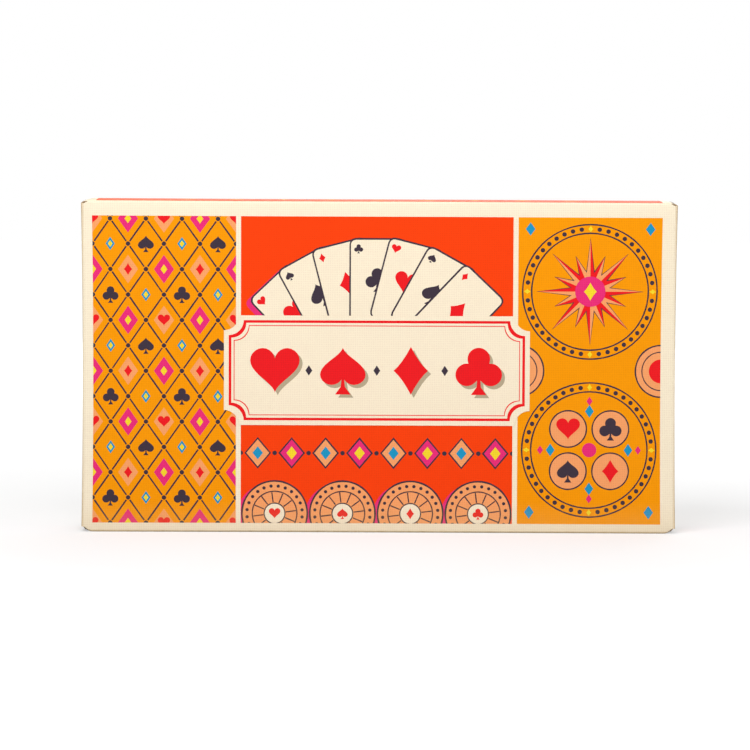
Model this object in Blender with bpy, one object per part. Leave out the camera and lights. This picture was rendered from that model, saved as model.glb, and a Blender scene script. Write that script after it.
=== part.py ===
# Boxed cribbage set, built as a folding carton with its contents inside.
#
# The carton is one die-cut paperboard blank, folded into a sleeve with a closure panel, a tuck tab and two
# dust flaps at each end. Inside stands a greyboard tray that holds a laminated wooden cribbage board with
# its pegs, a deck of cards and a folded rules sheet.
#
# Lengths are metres. X runs along the carton, Y from its printed front to its back, Z up. The origin is at
# the middle of the face that the carton stands on. Everything is sized from its contents outwards.

import math

import bmesh
import bpy
from mathutils import Matrix, Vector

# Clearances shared by all pieces
SEAT_GAP = 0.0003
CUT_OVERRUN = 0.004

# Holes of the cribbage board: three lanes, groups of five, a big turn and a small turn
LANE_COUNT = 3
LANE_SPACING = 0.0050
HOLE_RADIUS = 0.0015
HOLE_DEPTH = 0.0085
HOLE_SIDES = 6
HOLE_PITCH = 0.0047
GROUP_GAP = 0.0072
GROUP_SIZE = 5
GROUPS_PER_PASS = 7
BIG_TURN_RADIUS = 0.0340
SMALL_TURN_SHARE = 0.5
BIG_TURN_STEP = math.radians(15.5)
BIG_TURN_GROUP_STEP = math.radians(20.0)
START_ROWS = 2
START_OFFSET = 0.0125
START_PITCH = 0.0060
FINISH_OFFSET = 0.0110
GAME_ROWS = 3
GAME_ROW_SPACING = 0.0070
GAME_HOLES = 5
GAME_HOLE_PITCH = 0.0120
GAME_OFFSET = 0.0140

# Wooden board: a drilled plank glued to a base plank with the peg compartment in its back
EDGE_MARGIN = 0.0080
END_MARGIN = 0.0100
HOLE_FLOOR_THICKNESS = 0.0025
PLANK_EASING = 0.0008
COMPARTMENT_SLACK = 0.0012
COMPARTMENT_HEADROOM = 0.0020
COVER_THICKNESS = 0.0008
COVER_LIP = 0.0016
COVER_OVERLAP = 0.0035
COVER_LIP_THICKNESS = 0.0010
COVER_NOTCH_RADIUS = 0.0045
COMPARTMENT_FROM_END = 0.0780

# Turned metal pegs
PEG_COUNT = 6
PEG_ROWS = 3
PEG_LENGTH = 0.0300
PEG_SHAFT_RADIUS = 0.0013
PEG_TIP_RADIUS = 0.0008
PEG_TIP_LENGTH = 0.0020
PEG_HEAD_RADIUS = 0.0022
PEG_RING_HEIGHT = 0.0012
PEG_NECK_RADIUS = 0.0012
PEG_NECK_HEIGHT = 0.0009
PEG_BALL_RADIUS = 0.0015
PEG_SIDES = 8
PEG_BALL_SHARES = (0.5, 0.67)
PEG_MERGE_SHARE = 0.1

# Playing cards and rules sheet
CARD_LENGTH = 0.0889
CARD_WIDTH = 0.0635
CARD_CORNER_RADIUS = 0.0032
DECK_THICKNESS = 0.0165
CARD_HEADROOM = 0.0027
SHEET_LENGTH = 0.1480
SHEET_SHORTFALL = 0.0045
SHEET_CALIPER = 0.0003
SHEET_PANELS = 3

# Greyboard tray
TRAY_CALIPER = 0.0012
BOARD_END_CLEARANCE = 0.0015
TRAY_RIM = 0.0024
THUMB_NOTCH_RADIUS = 0.0120
FINGER_NOTCH_RADIUS = 0.0090

# Paperboard carton
CALIPER = 0.0006
FOLD_RADIUS = 0.0010
FOLD_STEPS = 4
HEADSPACE = 0.0021
TAB_FRONT_CLEARANCE = 0.0005
TAB_BACK_CLEARANCE = 0.0012
CORNER_CLIP = 0.0030
CLOSURE_INSET = 0.0024
TAB_LENGTH = 0.0140
TAB_INSET = 0.0045
TAB_CORNER_RADIUS = 0.0100
TAB_LOCK_LENGTH = 0.0090
TAB_LOCK_DEPTH = 0.0012
DUST_FLAP_LENGTH = 0.0260
DUST_FLAP_FRONT_INSET = 0.0006
DUST_FLAP_BACK_INSET = 0.0020
DUST_FLAP_FRONT_TAPER = math.radians(30.0)
DUST_FLAP_BACK_TAPER = math.radians(6.0)
DUST_FLAP_CORNER_RADIUS = 0.0030
TIP_CORNER_SHARE = 0.6
GLUE_FLAP_WIDTH = 0.0150
GLUE_FLAP_END_INSET = 0.0050
GLUE_FLAP_END_TAPER = math.radians(20.0)
CORNER_STEPS = 4

# Sizes that follow: the board's layout along X, measured from the straight lanes' left end
LANE_REACH = LANE_SPACING * (LANE_COUNT - 1) / 2
SMALL_TURN_RADIUS = BIG_TURN_RADIUS * SMALL_TURN_SHARE
PASS_LENGTH = (
    GROUPS_PER_PASS * (GROUP_SIZE - 1) * HOLE_PITCH + GROUPS_PER_PASS * GROUP_GAP
)
LEFT_OF_PASS = (
    SMALL_TURN_RADIUS
    + LANE_REACH
    + GAME_OFFSET
    + (GAME_ROWS - 1) * GAME_ROW_SPACING
    + END_MARGIN
)
RIGHT_OF_PASS = BIG_TURN_RADIUS + LANE_REACH + EDGE_MARGIN
BOARD_LENGTH = LEFT_OF_PASS + PASS_LENGTH + RIGHT_OF_PASS
BOARD_WIDTH = 2 * (BIG_TURN_RADIUS + LANE_REACH + EDGE_MARGIN)
DRILLED_PLANK_THICKNESS = HOLE_DEPTH + HOLE_FLOOR_THICKNESS
GROOVE_WIDTH = COVER_THICKNESS + 2 * SEAT_GAP
BASE_PLANK_THICKNESS = (
    2 * PEG_HEAD_RADIUS + COMPARTMENT_HEADROOM + GROOVE_WIDTH + COVER_LIP_THICKNESS
)
BOARD_THICKNESS = DRILLED_PLANK_THICKNESS + SEAT_GAP + BASE_PLANK_THICKNESS

# Sizes that follow: tray and carton
TRAY_LENGTH = BOARD_LENGTH + 2 * (BOARD_END_CLEARANCE + TRAY_CALIPER)
BAY_HEIGHT = CARD_WIDTH + CARD_HEADROOM
SHEET_FOLDED_HEIGHT = CARD_WIDTH - SHEET_SHORTFALL
TRAY_HEIGHT = 3 * TRAY_CALIPER + 3 * SEAT_GAP + BOARD_WIDTH + BAY_HEIGHT
TRAY_DEPTH = (
    TRAY_CALIPER + SEAT_GAP + max(BOARD_THICKNESS, DECK_THICKNESS) + TRAY_RIM
)
CARTON_LENGTH = TRAY_LENGTH + 2 * (2 * SEAT_GAP + 2 * CALIPER)
CARTON_HEIGHT = TRAY_HEIGHT + 2 * (SEAT_GAP + CALIPER)
CARTON_DEPTH = (
    CALIPER
    + HEADSPACE
    + TRAY_DEPTH
    + TAB_FRONT_CLEARANCE
    + CALIPER
    + TAB_BACK_CLEARANCE
    + CALIPER
    + SEAT_GAP
    + CALIPER
)

# Planes that pieces share, front to back
FRONT_FACE = -CARTON_DEPTH / 2
BACK_FACE = CARTON_DEPTH / 2
GLUE_FLAP_BACK = BACK_FACE - CALIPER - SEAT_GAP
TAB_BACK = GLUE_FLAP_BACK - CALIPER - TAB_BACK_CLEARANCE
TRAY_BACK = TAB_BACK - CALIPER - TAB_FRONT_CLEARANCE
TRAY_FRONT = TRAY_BACK - TRAY_DEPTH
BED = TRAY_BACK - TRAY_CALIPER - SEAT_GAP
BOARD_FRONT = BED - BOARD_THICKNESS

# Planes that pieces share, bottom to top
TRAY_BOTTOM = CALIPER + SEAT_GAP
BOARD_BOTTOM = TRAY_BOTTOM + TRAY_CALIPER + SEAT_GAP
BOARD_MIDDLE = BOARD_BOTTOM + BOARD_WIDTH / 2
DIVIDER_BOTTOM = BOARD_BOTTOM + BOARD_WIDTH + SEAT_GAP
DECK_BOTTOM = DIVIDER_BOTTOM + TRAY_CALIPER + SEAT_GAP
TRAY_TOP = TRAY_BOTTOM + TRAY_HEIGHT

# Planes that pieces share along X, at the right end
CLOSURE_INNER = CARTON_LENGTH / 2 - CALIPER
DUST_FLAP_OUTER = CLOSURE_INNER - SEAT_GAP
BOARD_LEFT = -BOARD_LENGTH / 2
PASS_LEFT = BOARD_LEFT + LEFT_OF_PASS
PASS_RIGHT = PASS_LEFT + PASS_LENGTH


def clear_scene():
    for item in list(bpy.data.objects):
        bpy.data.objects.remove(item, do_unlink=True)


def make_material(name, colour, roughness, metallic=0.0):
    """A Principled BSDF in the piece's colour."""
    material = bpy.data.materials.new(name)
    material.use_nodes = True
    shader = material.node_tree.nodes["Principled BSDF"]
    shader.inputs["Base Color"].default_value = (*colour, 1.0)
    shader.inputs["Roughness"].default_value = roughness
    shader.inputs["Metallic"].default_value = metallic
    return material


def add_object(name, shape, material, origin=(0, 0, 0)):
    """Turns a bmesh in world places into an object whose own origin is at the given point."""
    bmesh.ops.recalc_face_normals(shape, faces=shape.faces)
    bmesh.ops.translate(shape, verts=shape.verts, vec=-Vector(origin))
    mesh = bpy.data.meshes.new(name)
    shape.to_mesh(mesh)
    shape.free()
    mesh.materials.append(material)
    item = bpy.data.objects.new(name, mesh)
    item.location = origin
    bpy.context.scene.collection.objects.link(item)
    return item


def add_prism(shape, outline, axis, low, high):
    """Extrudes a flat outline along X, Y or Z. The outline's two numbers are the other two axes in order."""
    places = {
        "X": lambda u, v: Vector((low, u, v)),
        "Y": lambda u, v: Vector((u, low, v)),
        "Z": lambda u, v: Vector((u, v, low)),
    }
    steps = {"X": Vector((1, 0, 0)), "Y": Vector((0, 1, 0)), "Z": Vector((0, 0, 1))}
    corners = [shape.verts.new(places[axis](u, v)) for u, v in outline]
    face = shape.faces.new(corners)
    grown = bmesh.ops.extrude_face_region(shape, geom=[face])
    moved = [part for part in grown["geom"] if isinstance(part, bmesh.types.BMVert)]
    bmesh.ops.translate(shape, verts=moved, vec=steps[axis] * (high - low))


def prism(name, outline, axis, low, high, material, origin=(0, 0, 0)):
    shape = bmesh.new()
    add_prism(shape, outline, axis, low, high)
    return add_object(name, shape, material, origin)


def rectangle(left, low, right, high):
    return [(left, low), (right, low), (right, high), (left, high)]


def arc(centre, radius, start, sweep, steps):
    """Points along an arc, both ends included."""
    return [
        (
            centre[0] + radius * math.cos(start + sweep * step / steps),
            centre[1] + radius * math.sin(start + sweep * step / steps),
        )
        for step in range(steps + 1)
    ]


def rounded(outline, radii, steps=CORNER_STEPS):
    """Rounds the corners of an anticlockwise outline. A radius of zero keeps the corner."""
    points = []
    count = len(outline)
    for index, (corner, radius) in enumerate(zip(outline, radii)):
        here = Vector(corner)
        if not radius:
            points.append(corner)
            continue
        back = (Vector(outline[index - 1]) - here).normalized()
        ahead = (Vector(outline[(index + 1) % count]) - here).normalized()
        half = math.acos(max(-1, min(1, back.dot(ahead)))) / 2
        centre = here + (back + ahead).normalized() * radius / math.sin(half)
        first = here + back * radius / math.tan(half) - centre
        last = here + ahead * radius / math.tan(half) - centre
        start = math.atan2(first.y, first.x)
        sweep = (math.atan2(last.y, last.x) - start + math.pi) % (2 * math.pi) - math.pi
        points += arc(centre, radius, start, sweep, steps)
    return points


def folded_section(start, heading, side, moves):
    """The cut edge of a folded sheet. It starts on the outer face and heads off at an angle in radians.

    Each move is ("run", length) or ("fold", angle). The sheet's thickness lies on the given side: 1 for the
    left of the heading and -1 for the right, and every fold turns towards that side.
    """
    place = Vector(start)
    outer, inner = [], []

    def mark():
        inwards = Vector((-math.sin(heading), math.cos(heading))) * side
        outer.append(place.copy())
        inner.append(place + inwards * CALIPER)

    mark()
    for kind, amount in moves:
        if kind == "run":
            place = place + Vector((math.cos(heading), math.sin(heading))) * amount
            mark()
            continue
        inwards = Vector((-math.sin(heading), math.cos(heading))) * side
        centre = place + inwards * FOLD_RADIUS
        first = heading
        for step in range(1, FOLD_STEPS + 1):
            heading = first + side * amount * step / FOLD_STEPS
            inwards = Vector((-math.sin(heading), math.cos(heading))) * side
            place = centre - inwards * FOLD_RADIUS
            mark()
    return [tuple(point) for point in outer + inner[::-1]]


def make_cutter(name, build):
    """A hidden solid for a Boolean. build adds its shapes to the bmesh."""
    shape = bmesh.new()
    build(shape)
    bmesh.ops.recalc_face_normals(shape, faces=shape.faces)
    mesh = bpy.data.meshes.new(name)
    shape.to_mesh(mesh)
    shape.free()
    cutter = bpy.data.objects.new(name, mesh)
    cutter.hide_render = True
    cutter.display_type = "WIRE"
    bpy.context.scene.collection.objects.link(cutter)
    return cutter


def boolean(item, cutter, operation):
    modifier = item.modifiers.new(cutter.name, "BOOLEAN")
    modifier.operation = operation
    modifier.solver = "EXACT"
    modifier.object = cutter


def die_cut(item, outline, axis, low, high):
    """Keeps what lies inside a die's outline, pressed through the folded sheet along an axis."""
    die = make_cutter(
        item.name + ".die", lambda shape: add_prism(shape, outline, axis, low, high)
    )
    boolean(item, die, "INTERSECT")


def mirrored(outline, side):
    """The outline itself at the right end, and its mirror image at the left end."""
    return outline if side > 0 else [(-u, v) for u, v in outline][::-1]


# Carton sleeve


def build_front_panel(board):
    """Printed front: it carries both long front folds, and its corners are clipped for the closures."""
    section = folded_section(
        (FRONT_FACE + FOLD_RADIUS, CARTON_HEIGHT),
        math.pi,
        1,
        [
            ("fold", math.pi / 2),
            ("run", CARTON_HEIGHT - 2 * FOLD_RADIUS),
            ("fold", math.pi / 2),
        ],
    )
    half = CARTON_LENGTH / 2 - FOLD_RADIUS - SEAT_GAP
    panel = prism("carton_front_panel", section, "X", -half, half, board)
    low, high = CLOSURE_INSET, CARTON_HEIGHT - CLOSURE_INSET
    below, above = -CUT_OVERRUN, CARTON_HEIGHT + CUT_OVERRUN
    inner, outer = half - CORNER_CLIP, half + CUT_OVERRUN
    outline = [
        (-inner, below),
        (inner, below),
        (inner, 0),
        (half, low),
        (outer, low),
        (outer, high),
        (half, high),
        (inner, CARTON_HEIGHT),
        (inner, above),
        (-inner, above),
        (-inner, CARTON_HEIGHT),
        (-half, high),
        (-outer, high),
        (-outer, low),
        (-half, low),
        (-inner, 0),
    ]
    back = FRONT_FACE + FOLD_RADIUS + CUT_OVERRUN
    die_cut(panel, outline, "Y", FRONT_FACE - CUT_OVERRUN, back)


def build_back_panel(board):
    """Plain back, with both long back folds. Its ends are cut square, just short of the closures."""
    section = folded_section(
        (BACK_FACE - FOLD_RADIUS, 0),
        0,
        1,
        [
            ("fold", math.pi / 2),
            ("run", CARTON_HEIGHT - 2 * FOLD_RADIUS),
            ("fold", math.pi / 2),
        ],
    )
    half = CARTON_LENGTH / 2 - SEAT_GAP
    prism("carton_back_panel", section, "X", -half, half, board)


def build_side_panels(board):
    """The long top and bottom walls, which run between the folds of front and back."""
    half = DUST_FLAP_OUTER - FOLD_RADIUS - SEAT_GAP
    front = FRONT_FACE + FOLD_RADIUS + SEAT_GAP
    back = BACK_FACE - FOLD_RADIUS - SEAT_GAP
    top = rectangle(front, CARTON_HEIGHT - CALIPER, back, CARTON_HEIGHT)
    bottom = rectangle(front, 0, back, CALIPER)
    prism("carton_top_panel", top, "X", -half, half, board)
    prism("carton_bottom_panel", bottom, "X", -half, half, board)


def build_glue_flap(board):
    """The maker's joint: a tapered flap glued inside the back panel, above the bottom fold."""
    half = CARTON_LENGTH / 2 - GLUE_FLAP_END_INSET
    low = CALIPER + SEAT_GAP
    high = low + GLUE_FLAP_WIDTH
    taper = GLUE_FLAP_WIDTH * math.tan(GLUE_FLAP_END_TAPER)
    outline = [(-half, low), (half, low), (half - taper, high), (taper - half, high)]
    prism(
        "carton_glue_flap",
        outline,
        "Y",
        GLUE_FLAP_BACK - CALIPER,
        GLUE_FLAP_BACK,
        board,
    )


# Carton ends


def build_closure_panel(end, side, board):
    """End panel that opens about its front fold, with its origin on the crease in the front face."""
    outer = CARTON_LENGTH / 2
    fold_end = TAB_BACK - FOLD_RADIUS - SEAT_GAP
    section = folded_section(
        (outer - FOLD_RADIUS, FRONT_FACE),
        0,
        1,
        [("fold", math.pi / 2), ("run", fold_end - FRONT_FACE - FOLD_RADIUS)],
    )
    crease = outer - FOLD_RADIUS - SEAT_GAP / 2
    axis = (side * crease, FRONT_FACE, CARTON_HEIGHT / 2)
    prism(
        f"{end}_closure_panel",
        mirrored(section, side),
        "Z",
        CLOSURE_INSET,
        CARTON_HEIGHT - CLOSURE_INSET,
        board,
        axis,
    )


def build_tuck_tab(end, side, board):
    """Tab on the closure's free edge, tucked in front of the back panel, with lock slits at its fold."""
    outer = CARTON_LENGTH / 2
    section = folded_section(
        (outer, TAB_BACK - FOLD_RADIUS),
        math.pi / 2,
        1,
        [("fold", math.pi / 2), ("run", TAB_LENGTH - FOLD_RADIUS)],
    )
    axis = (side * (outer - FOLD_RADIUS), TAB_BACK - FOLD_RADIUS, CARTON_HEIGHT / 2)
    tab = prism(
        f"{end}_tuck_tab",
        mirrored(section, side),
        "Z",
        TAB_INSET,
        CARTON_HEIGHT - TAB_INSET,
        board,
        axis,
    )
    low, high = TAB_INSET, CARTON_HEIGHT - TAB_INSET
    tip, lock = outer - TAB_LENGTH, outer - FOLD_RADIUS - TAB_LOCK_DEPTH
    outline = rounded(
        [
            (tip, low),
            (lock, low),
            (lock, low + TAB_LOCK_LENGTH),
            (outer + CUT_OVERRUN, low + TAB_LOCK_LENGTH),
            (outer + CUT_OVERRUN, high - TAB_LOCK_LENGTH),
            (lock, high - TAB_LOCK_LENGTH),
            (lock, high),
            (tip, high),
        ],
        [TAB_CORNER_RADIUS, 0, 0, 0, 0, 0, 0, TAB_CORNER_RADIUS],
    )
    front, back = TAB_BACK - FOLD_RADIUS - CUT_OVERRUN, TAB_BACK + CUT_OVERRUN
    die_cut(tab, mirrored(outline, side), "Y", front, back)


def build_dust_flap(end, side, edge, level, board):
    """Tapered flap folded in behind the closure. level is 1 for the top flap and -1 for the bottom one."""
    middle = CARTON_HEIGHT / 2
    outer = DUST_FLAP_OUTER
    section = folded_section(
        (outer - FOLD_RADIUS, CARTON_HEIGHT),
        0,
        -1,
        [("fold", math.pi / 2), ("run", DUST_FLAP_LENGTH - FOLD_RADIUS)],
    )
    section = [(side * u, middle + level * (v - middle)) for u, v in section]
    front = FRONT_FACE + FOLD_RADIUS + DUST_FLAP_FRONT_INSET
    back = TAB_BACK - CALIPER - DUST_FLAP_BACK_INSET
    axis = (side * (outer - FOLD_RADIUS - SEAT_GAP / 2), 0, middle + level * middle)
    flap = prism(f"{end}_dust_flap_{edge}", section, "Y", front, back, board, axis)
    root, tip = CARTON_HEIGHT - FOLD_RADIUS, CARTON_HEIGHT - DUST_FLAP_LENGTH
    reach = root - tip
    tip_front = front + reach * math.tan(DUST_FLAP_FRONT_TAPER)
    tip_back = back - reach * math.tan(DUST_FLAP_BACK_TAPER)
    corner = min(DUST_FLAP_CORNER_RADIUS, (tip_back - tip_front) * TIP_CORNER_SHARE)
    outline = rounded(
        [
            (front, CARTON_HEIGHT + CUT_OVERRUN),
            (front, root),
            (tip_front, tip),
            (tip_back, tip),
            (back, root),
            (back, CARTON_HEIGHT + CUT_OVERRUN),
        ],
        [0, 0, corner, corner, 0, 0],
    )
    outline = [(y, middle + level * (z - middle)) for y, z in outline]
    edges = sorted((side * (outer - FOLD_RADIUS - CUT_OVERRUN), side * (outer + CUT_OVERRUN)))
    die_cut(flap, outline, "X", *edges)


# Greyboard tray


def build_tray(grey):
    """Floor, two long walls, two end walls with thumb notches, and two dividers, glued edge to face."""
    half = TRAY_LENGTH / 2
    floor = TRAY_BACK - TRAY_CALIPER
    wall_back = floor - SEAT_GAP
    prism(
        "tray_floor",
        rectangle(-half, TRAY_BOTTOM, half, TRAY_TOP),
        "Y",
        floor,
        TRAY_BACK,
        grey,
    )
    for name, low in (
        ("tray_long_wall_bottom", TRAY_BOTTOM),
        ("tray_long_wall_top", TRAY_TOP - TRAY_CALIPER),
    ):
        outline = rectangle(TRAY_FRONT, low, wall_back, low + TRAY_CALIPER)
        prism(name, outline, "X", -half, half, grey)
    low = TRAY_BOTTOM + TRAY_CALIPER + SEAT_GAP
    high = TRAY_TOP - TRAY_CALIPER - SEAT_GAP
    middle = BOARD_MIDDLE
    outline = [(wall_back, low), (wall_back, high), (TRAY_FRONT, high)]
    outline += arc(
        (TRAY_FRONT, middle),
        THUMB_NOTCH_RADIUS,
        math.pi / 2,
        -math.pi,
        2 * CORNER_STEPS,
    )
    outline.append((TRAY_FRONT, low))
    prism("tray_end_wall_right", outline, "X", half - TRAY_CALIPER, half, grey)
    prism("tray_end_wall_left", outline, "X", -half, TRAY_CALIPER - half, grey)


def build_dividers(grey):
    """The long rib over the board, with a finger notch under the deck, and the short rib beside the deck."""
    inner = TRAY_LENGTH / 2 - TRAY_CALIPER - SEAT_GAP
    wall_back = TRAY_BACK - TRAY_CALIPER - SEAT_GAP
    deck_middle = -inner + SEAT_GAP + CARD_LENGTH / 2
    outline = [(-inner, wall_back), (-inner, TRAY_FRONT)]
    outline += arc(
        (deck_middle, TRAY_FRONT), FINGER_NOTCH_RADIUS, math.pi, -math.pi, 2 * CORNER_STEPS
    )
    outline += [(inner, TRAY_FRONT), (inner, wall_back)]
    prism(
        "tray_long_divider",
        outline,
        "Z",
        DIVIDER_BOTTOM,
        DIVIDER_BOTTOM + TRAY_CALIPER,
        grey,
    )
    left = -inner + 2 * SEAT_GAP + CARD_LENGTH
    top = TRAY_TOP - TRAY_CALIPER - SEAT_GAP
    outline = rectangle(TRAY_FRONT, DECK_BOTTOM, wall_back, top)
    prism("tray_short_divider", outline, "X", left, left + TRAY_CALIPER, grey)
    return left + TRAY_CALIPER


# Cribbage board


def lane_offsets():
    return [LANE_SPACING * (lane - (LANE_COUNT - 1) / 2) for lane in range(LANE_COUNT)]


def straight_places():
    """Distances of the 35 holes along a straight pass, in groups of five."""
    places = []
    distance = GROUP_GAP / 2
    for _ in range(GROUPS_PER_PASS):
        for hole in range(GROUP_SIZE):
            places.append(distance + hole * HOLE_PITCH)
        distance += (GROUP_SIZE - 1) * HOLE_PITCH + GROUP_GAP
    return places


def big_turn_angles():
    """Angles of the ten holes round the big turn, from above to below."""
    half_run = BIG_TURN_GROUP_STEP / 2 + (GROUP_SIZE - 1) * BIG_TURN_STEP
    upper = [half_run - hole * BIG_TURN_STEP for hole in range(GROUP_SIZE)]
    return upper + [-angle for angle in reversed(upper)]


def hole_places():
    """Every peg hole as (x, z) from the board's middle line: the 120-hole track, start, finish and games."""
    places = []
    middle_turn = PASS_LEFT
    for offset in lane_offsets():
        for distance in straight_places():
            places.append((PASS_LEFT + distance, BIG_TURN_RADIUS + offset))
            places.append((PASS_LEFT + distance, -BIG_TURN_RADIUS - offset))
            places.append((PASS_LEFT + distance, offset))
        for angle in big_turn_angles():
            radius = BIG_TURN_RADIUS + offset
            places.append(
                (PASS_RIGHT + radius * math.cos(angle), radius * math.sin(angle))
            )
        for hole in range(GROUP_SIZE):
            angle = math.pi / 2 + math.pi * (hole + 1) / (GROUP_SIZE + 1)
            radius = SMALL_TURN_RADIUS + offset
            places.append(
                (
                    middle_turn + radius * math.cos(angle),
                    radius * math.sin(angle) - SMALL_TURN_RADIUS,
                )
            )
        for row in range(START_ROWS):
            places.append(
                (
                    PASS_LEFT - START_OFFSET - row * START_PITCH,
                    BIG_TURN_RADIUS + offset,
                )
            )
    places.append((PASS_RIGHT + FINISH_OFFSET, 0))
    first_row = PASS_LEFT - SMALL_TURN_RADIUS - LANE_REACH - GAME_OFFSET
    for row in range(GAME_ROWS):
        for hole in range(GAME_HOLES):
            places.append(
                (
                    first_row - row * GAME_ROW_SPACING,
                    (hole - (GAME_HOLES - 1) / 2) * GAME_HOLE_PITCH,
                )
            )
    return places


def build_drilled_plank(wood):
    """The playing plank, with a blind hole for every peg place and eased front edges."""
    front, back = BOARD_FRONT, BOARD_FRONT + DRILLED_PLANK_THICKNESS
    half = BOARD_LENGTH / 2
    low, high = BOARD_BOTTOM, BOARD_BOTTOM + BOARD_WIDTH
    plank = prism(
        "drilled_plank", rectangle(-half, low, half, high), "Y", front, back, wood
    )
    shape = bmesh.new()
    shape.from_mesh(plank.data)
    rim = [
        edge
        for edge in shape.edges
        if all(abs(vert.co.y - front) < SEAT_GAP for vert in edge.verts)
    ]
    bmesh.ops.bevel(
        shape,
        geom=rim,
        offset=PLANK_EASING,
        offset_type="OFFSET",
        segments=2,
        profile=0.5,
        affect="EDGES",
    )
    shape.to_mesh(plank.data)
    shape.free()

    def add_drills(shape):
        for x, z in hole_places():
            outline = [
                (
                    x + HOLE_RADIUS * math.cos(2 * math.pi * side / HOLE_SIDES),
                    BOARD_MIDDLE
                    + z
                    + HOLE_RADIUS * math.sin(2 * math.pi * side / HOLE_SIDES),
                )
                for side in range(HOLE_SIDES)
            ]
            add_prism(shape, outline, "Y", front - CUT_OVERRUN, front + HOLE_DEPTH)

    boolean(plank, make_cutter("drilled_plank.drills", add_drills), "DIFFERENCE")


def compartment_size():
    """Length and height of the peg compartment, from the pegs that lie in it."""
    columns = math.ceil(PEG_COUNT / PEG_ROWS)
    length = columns * PEG_LENGTH + (columns + 1) * SEAT_GAP + COMPARTMENT_SLACK
    height = PEG_ROWS * 2 * PEG_HEAD_RADIUS + (PEG_ROWS + 1) * SEAT_GAP
    return length, height


def compartment_middle():
    length, _ = compartment_size()
    return BOARD_LENGTH / 2 - COMPARTMENT_FROM_END - length / 2


def build_base_plank(wood):
    """The back plank: a slot for the pegs, and an undercut groove that leads their cover to the end."""
    length, height = compartment_size()
    middle = compartment_middle()
    half = BOARD_LENGTH / 2
    front, back = BED - BASE_PLANK_THICKNESS, BED
    plank = prism(
        "base_plank",
        rectangle(-half, BOARD_BOTTOM, half, BOARD_BOTTOM + BOARD_WIDTH),
        "Y",
        front,
        back,
        wood,
    )
    left = middle - length / 2
    groove_left = left - COVER_OVERLAP - SEAT_GAP
    mouth = height / 2
    groove = mouth + COVER_LIP + SEAT_GAP
    groove_back = back - COVER_LIP_THICKNESS
    groove_front = groove_back - GROOVE_WIDTH

    def add_compartment(shape):
        outline = rectangle(
            left, BOARD_MIDDLE - mouth, left + length, BOARD_MIDDLE + mouth
        )
        add_prism(shape, outline, "Y", front - CUT_OVERRUN, groove_front + SEAT_GAP)

    def add_groove(shape):
        outline = [
            (groove_front, BOARD_MIDDLE - groove),
            (groove_back, BOARD_MIDDLE - groove),
            (groove_back, BOARD_MIDDLE - mouth),
            (back + CUT_OVERRUN, BOARD_MIDDLE - mouth),
            (back + CUT_OVERRUN, BOARD_MIDDLE + mouth),
            (groove_back, BOARD_MIDDLE + mouth),
            (groove_back, BOARD_MIDDLE + groove),
            (groove_front, BOARD_MIDDLE + groove),
        ]
        add_prism(shape, outline, "X", groove_left, half + CUT_OVERRUN)

    boolean(plank, make_cutter("base_plank.groove", add_groove), "DIFFERENCE")
    boolean(plank, make_cutter("base_plank.compartment", add_compartment), "DIFFERENCE")


def build_peg_cover(brass):
    """Sliding brass cover of the compartment, with a half-round bite for a fingernail."""
    length, height = compartment_size()
    middle = compartment_middle()
    left = middle - length / 2 - COVER_OVERLAP
    right = middle + length / 2 + COVER_OVERLAP
    half = height / 2 + COVER_LIP
    outline = [(left, BOARD_MIDDLE - half), (right, BOARD_MIDDLE - half)]
    outline += arc(
        (right, BOARD_MIDDLE),
        COVER_NOTCH_RADIUS,
        -math.pi / 2,
        -math.pi,
        2 * CORNER_STEPS,
    )
    outline += [(right, BOARD_MIDDLE + half), (left, BOARD_MIDDLE + half)]
    back = BED - COVER_LIP_THICKNESS - SEAT_GAP
    prism(
        "peg_cover",
        outline,
        "Y",
        back - COVER_THICKNESS,
        back,
        brass,
        (middle, back, BOARD_MIDDLE),
    )


def peg_profile():
    """Half outline of a peg, from tip to crown: a tapered shaft, two rings, a neck and a ball."""
    below_share, above_share = PEG_BALL_SHARES
    crown = PEG_LENGTH
    ball = crown - PEG_BALL_RADIUS
    ring_top = crown - 2 * PEG_BALL_RADIUS - PEG_NECK_HEIGHT
    groove = ring_top - PEG_RING_HEIGHT
    ring_low = groove - PEG_NECK_HEIGHT - PEG_RING_HEIGHT
    return [
        (0, 0),
        (PEG_TIP_RADIUS, 0),
        (PEG_SHAFT_RADIUS, PEG_TIP_LENGTH),
        (PEG_SHAFT_RADIUS, ring_low),
        (PEG_HEAD_RADIUS, ring_low),
        (PEG_HEAD_RADIUS, ring_low + PEG_RING_HEIGHT),
        (PEG_SHAFT_RADIUS, ring_low + PEG_RING_HEIGHT),
        (PEG_SHAFT_RADIUS, groove),
        (PEG_HEAD_RADIUS, groove),
        (PEG_HEAD_RADIUS, ring_top),
        (PEG_NECK_RADIUS, ring_top),
        (PEG_NECK_RADIUS, ball - PEG_BALL_RADIUS * below_share),
        (PEG_BALL_RADIUS, ball),
        (PEG_NECK_RADIUS, ball + PEG_BALL_RADIUS * above_share),
        (0, crown),
    ]


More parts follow.
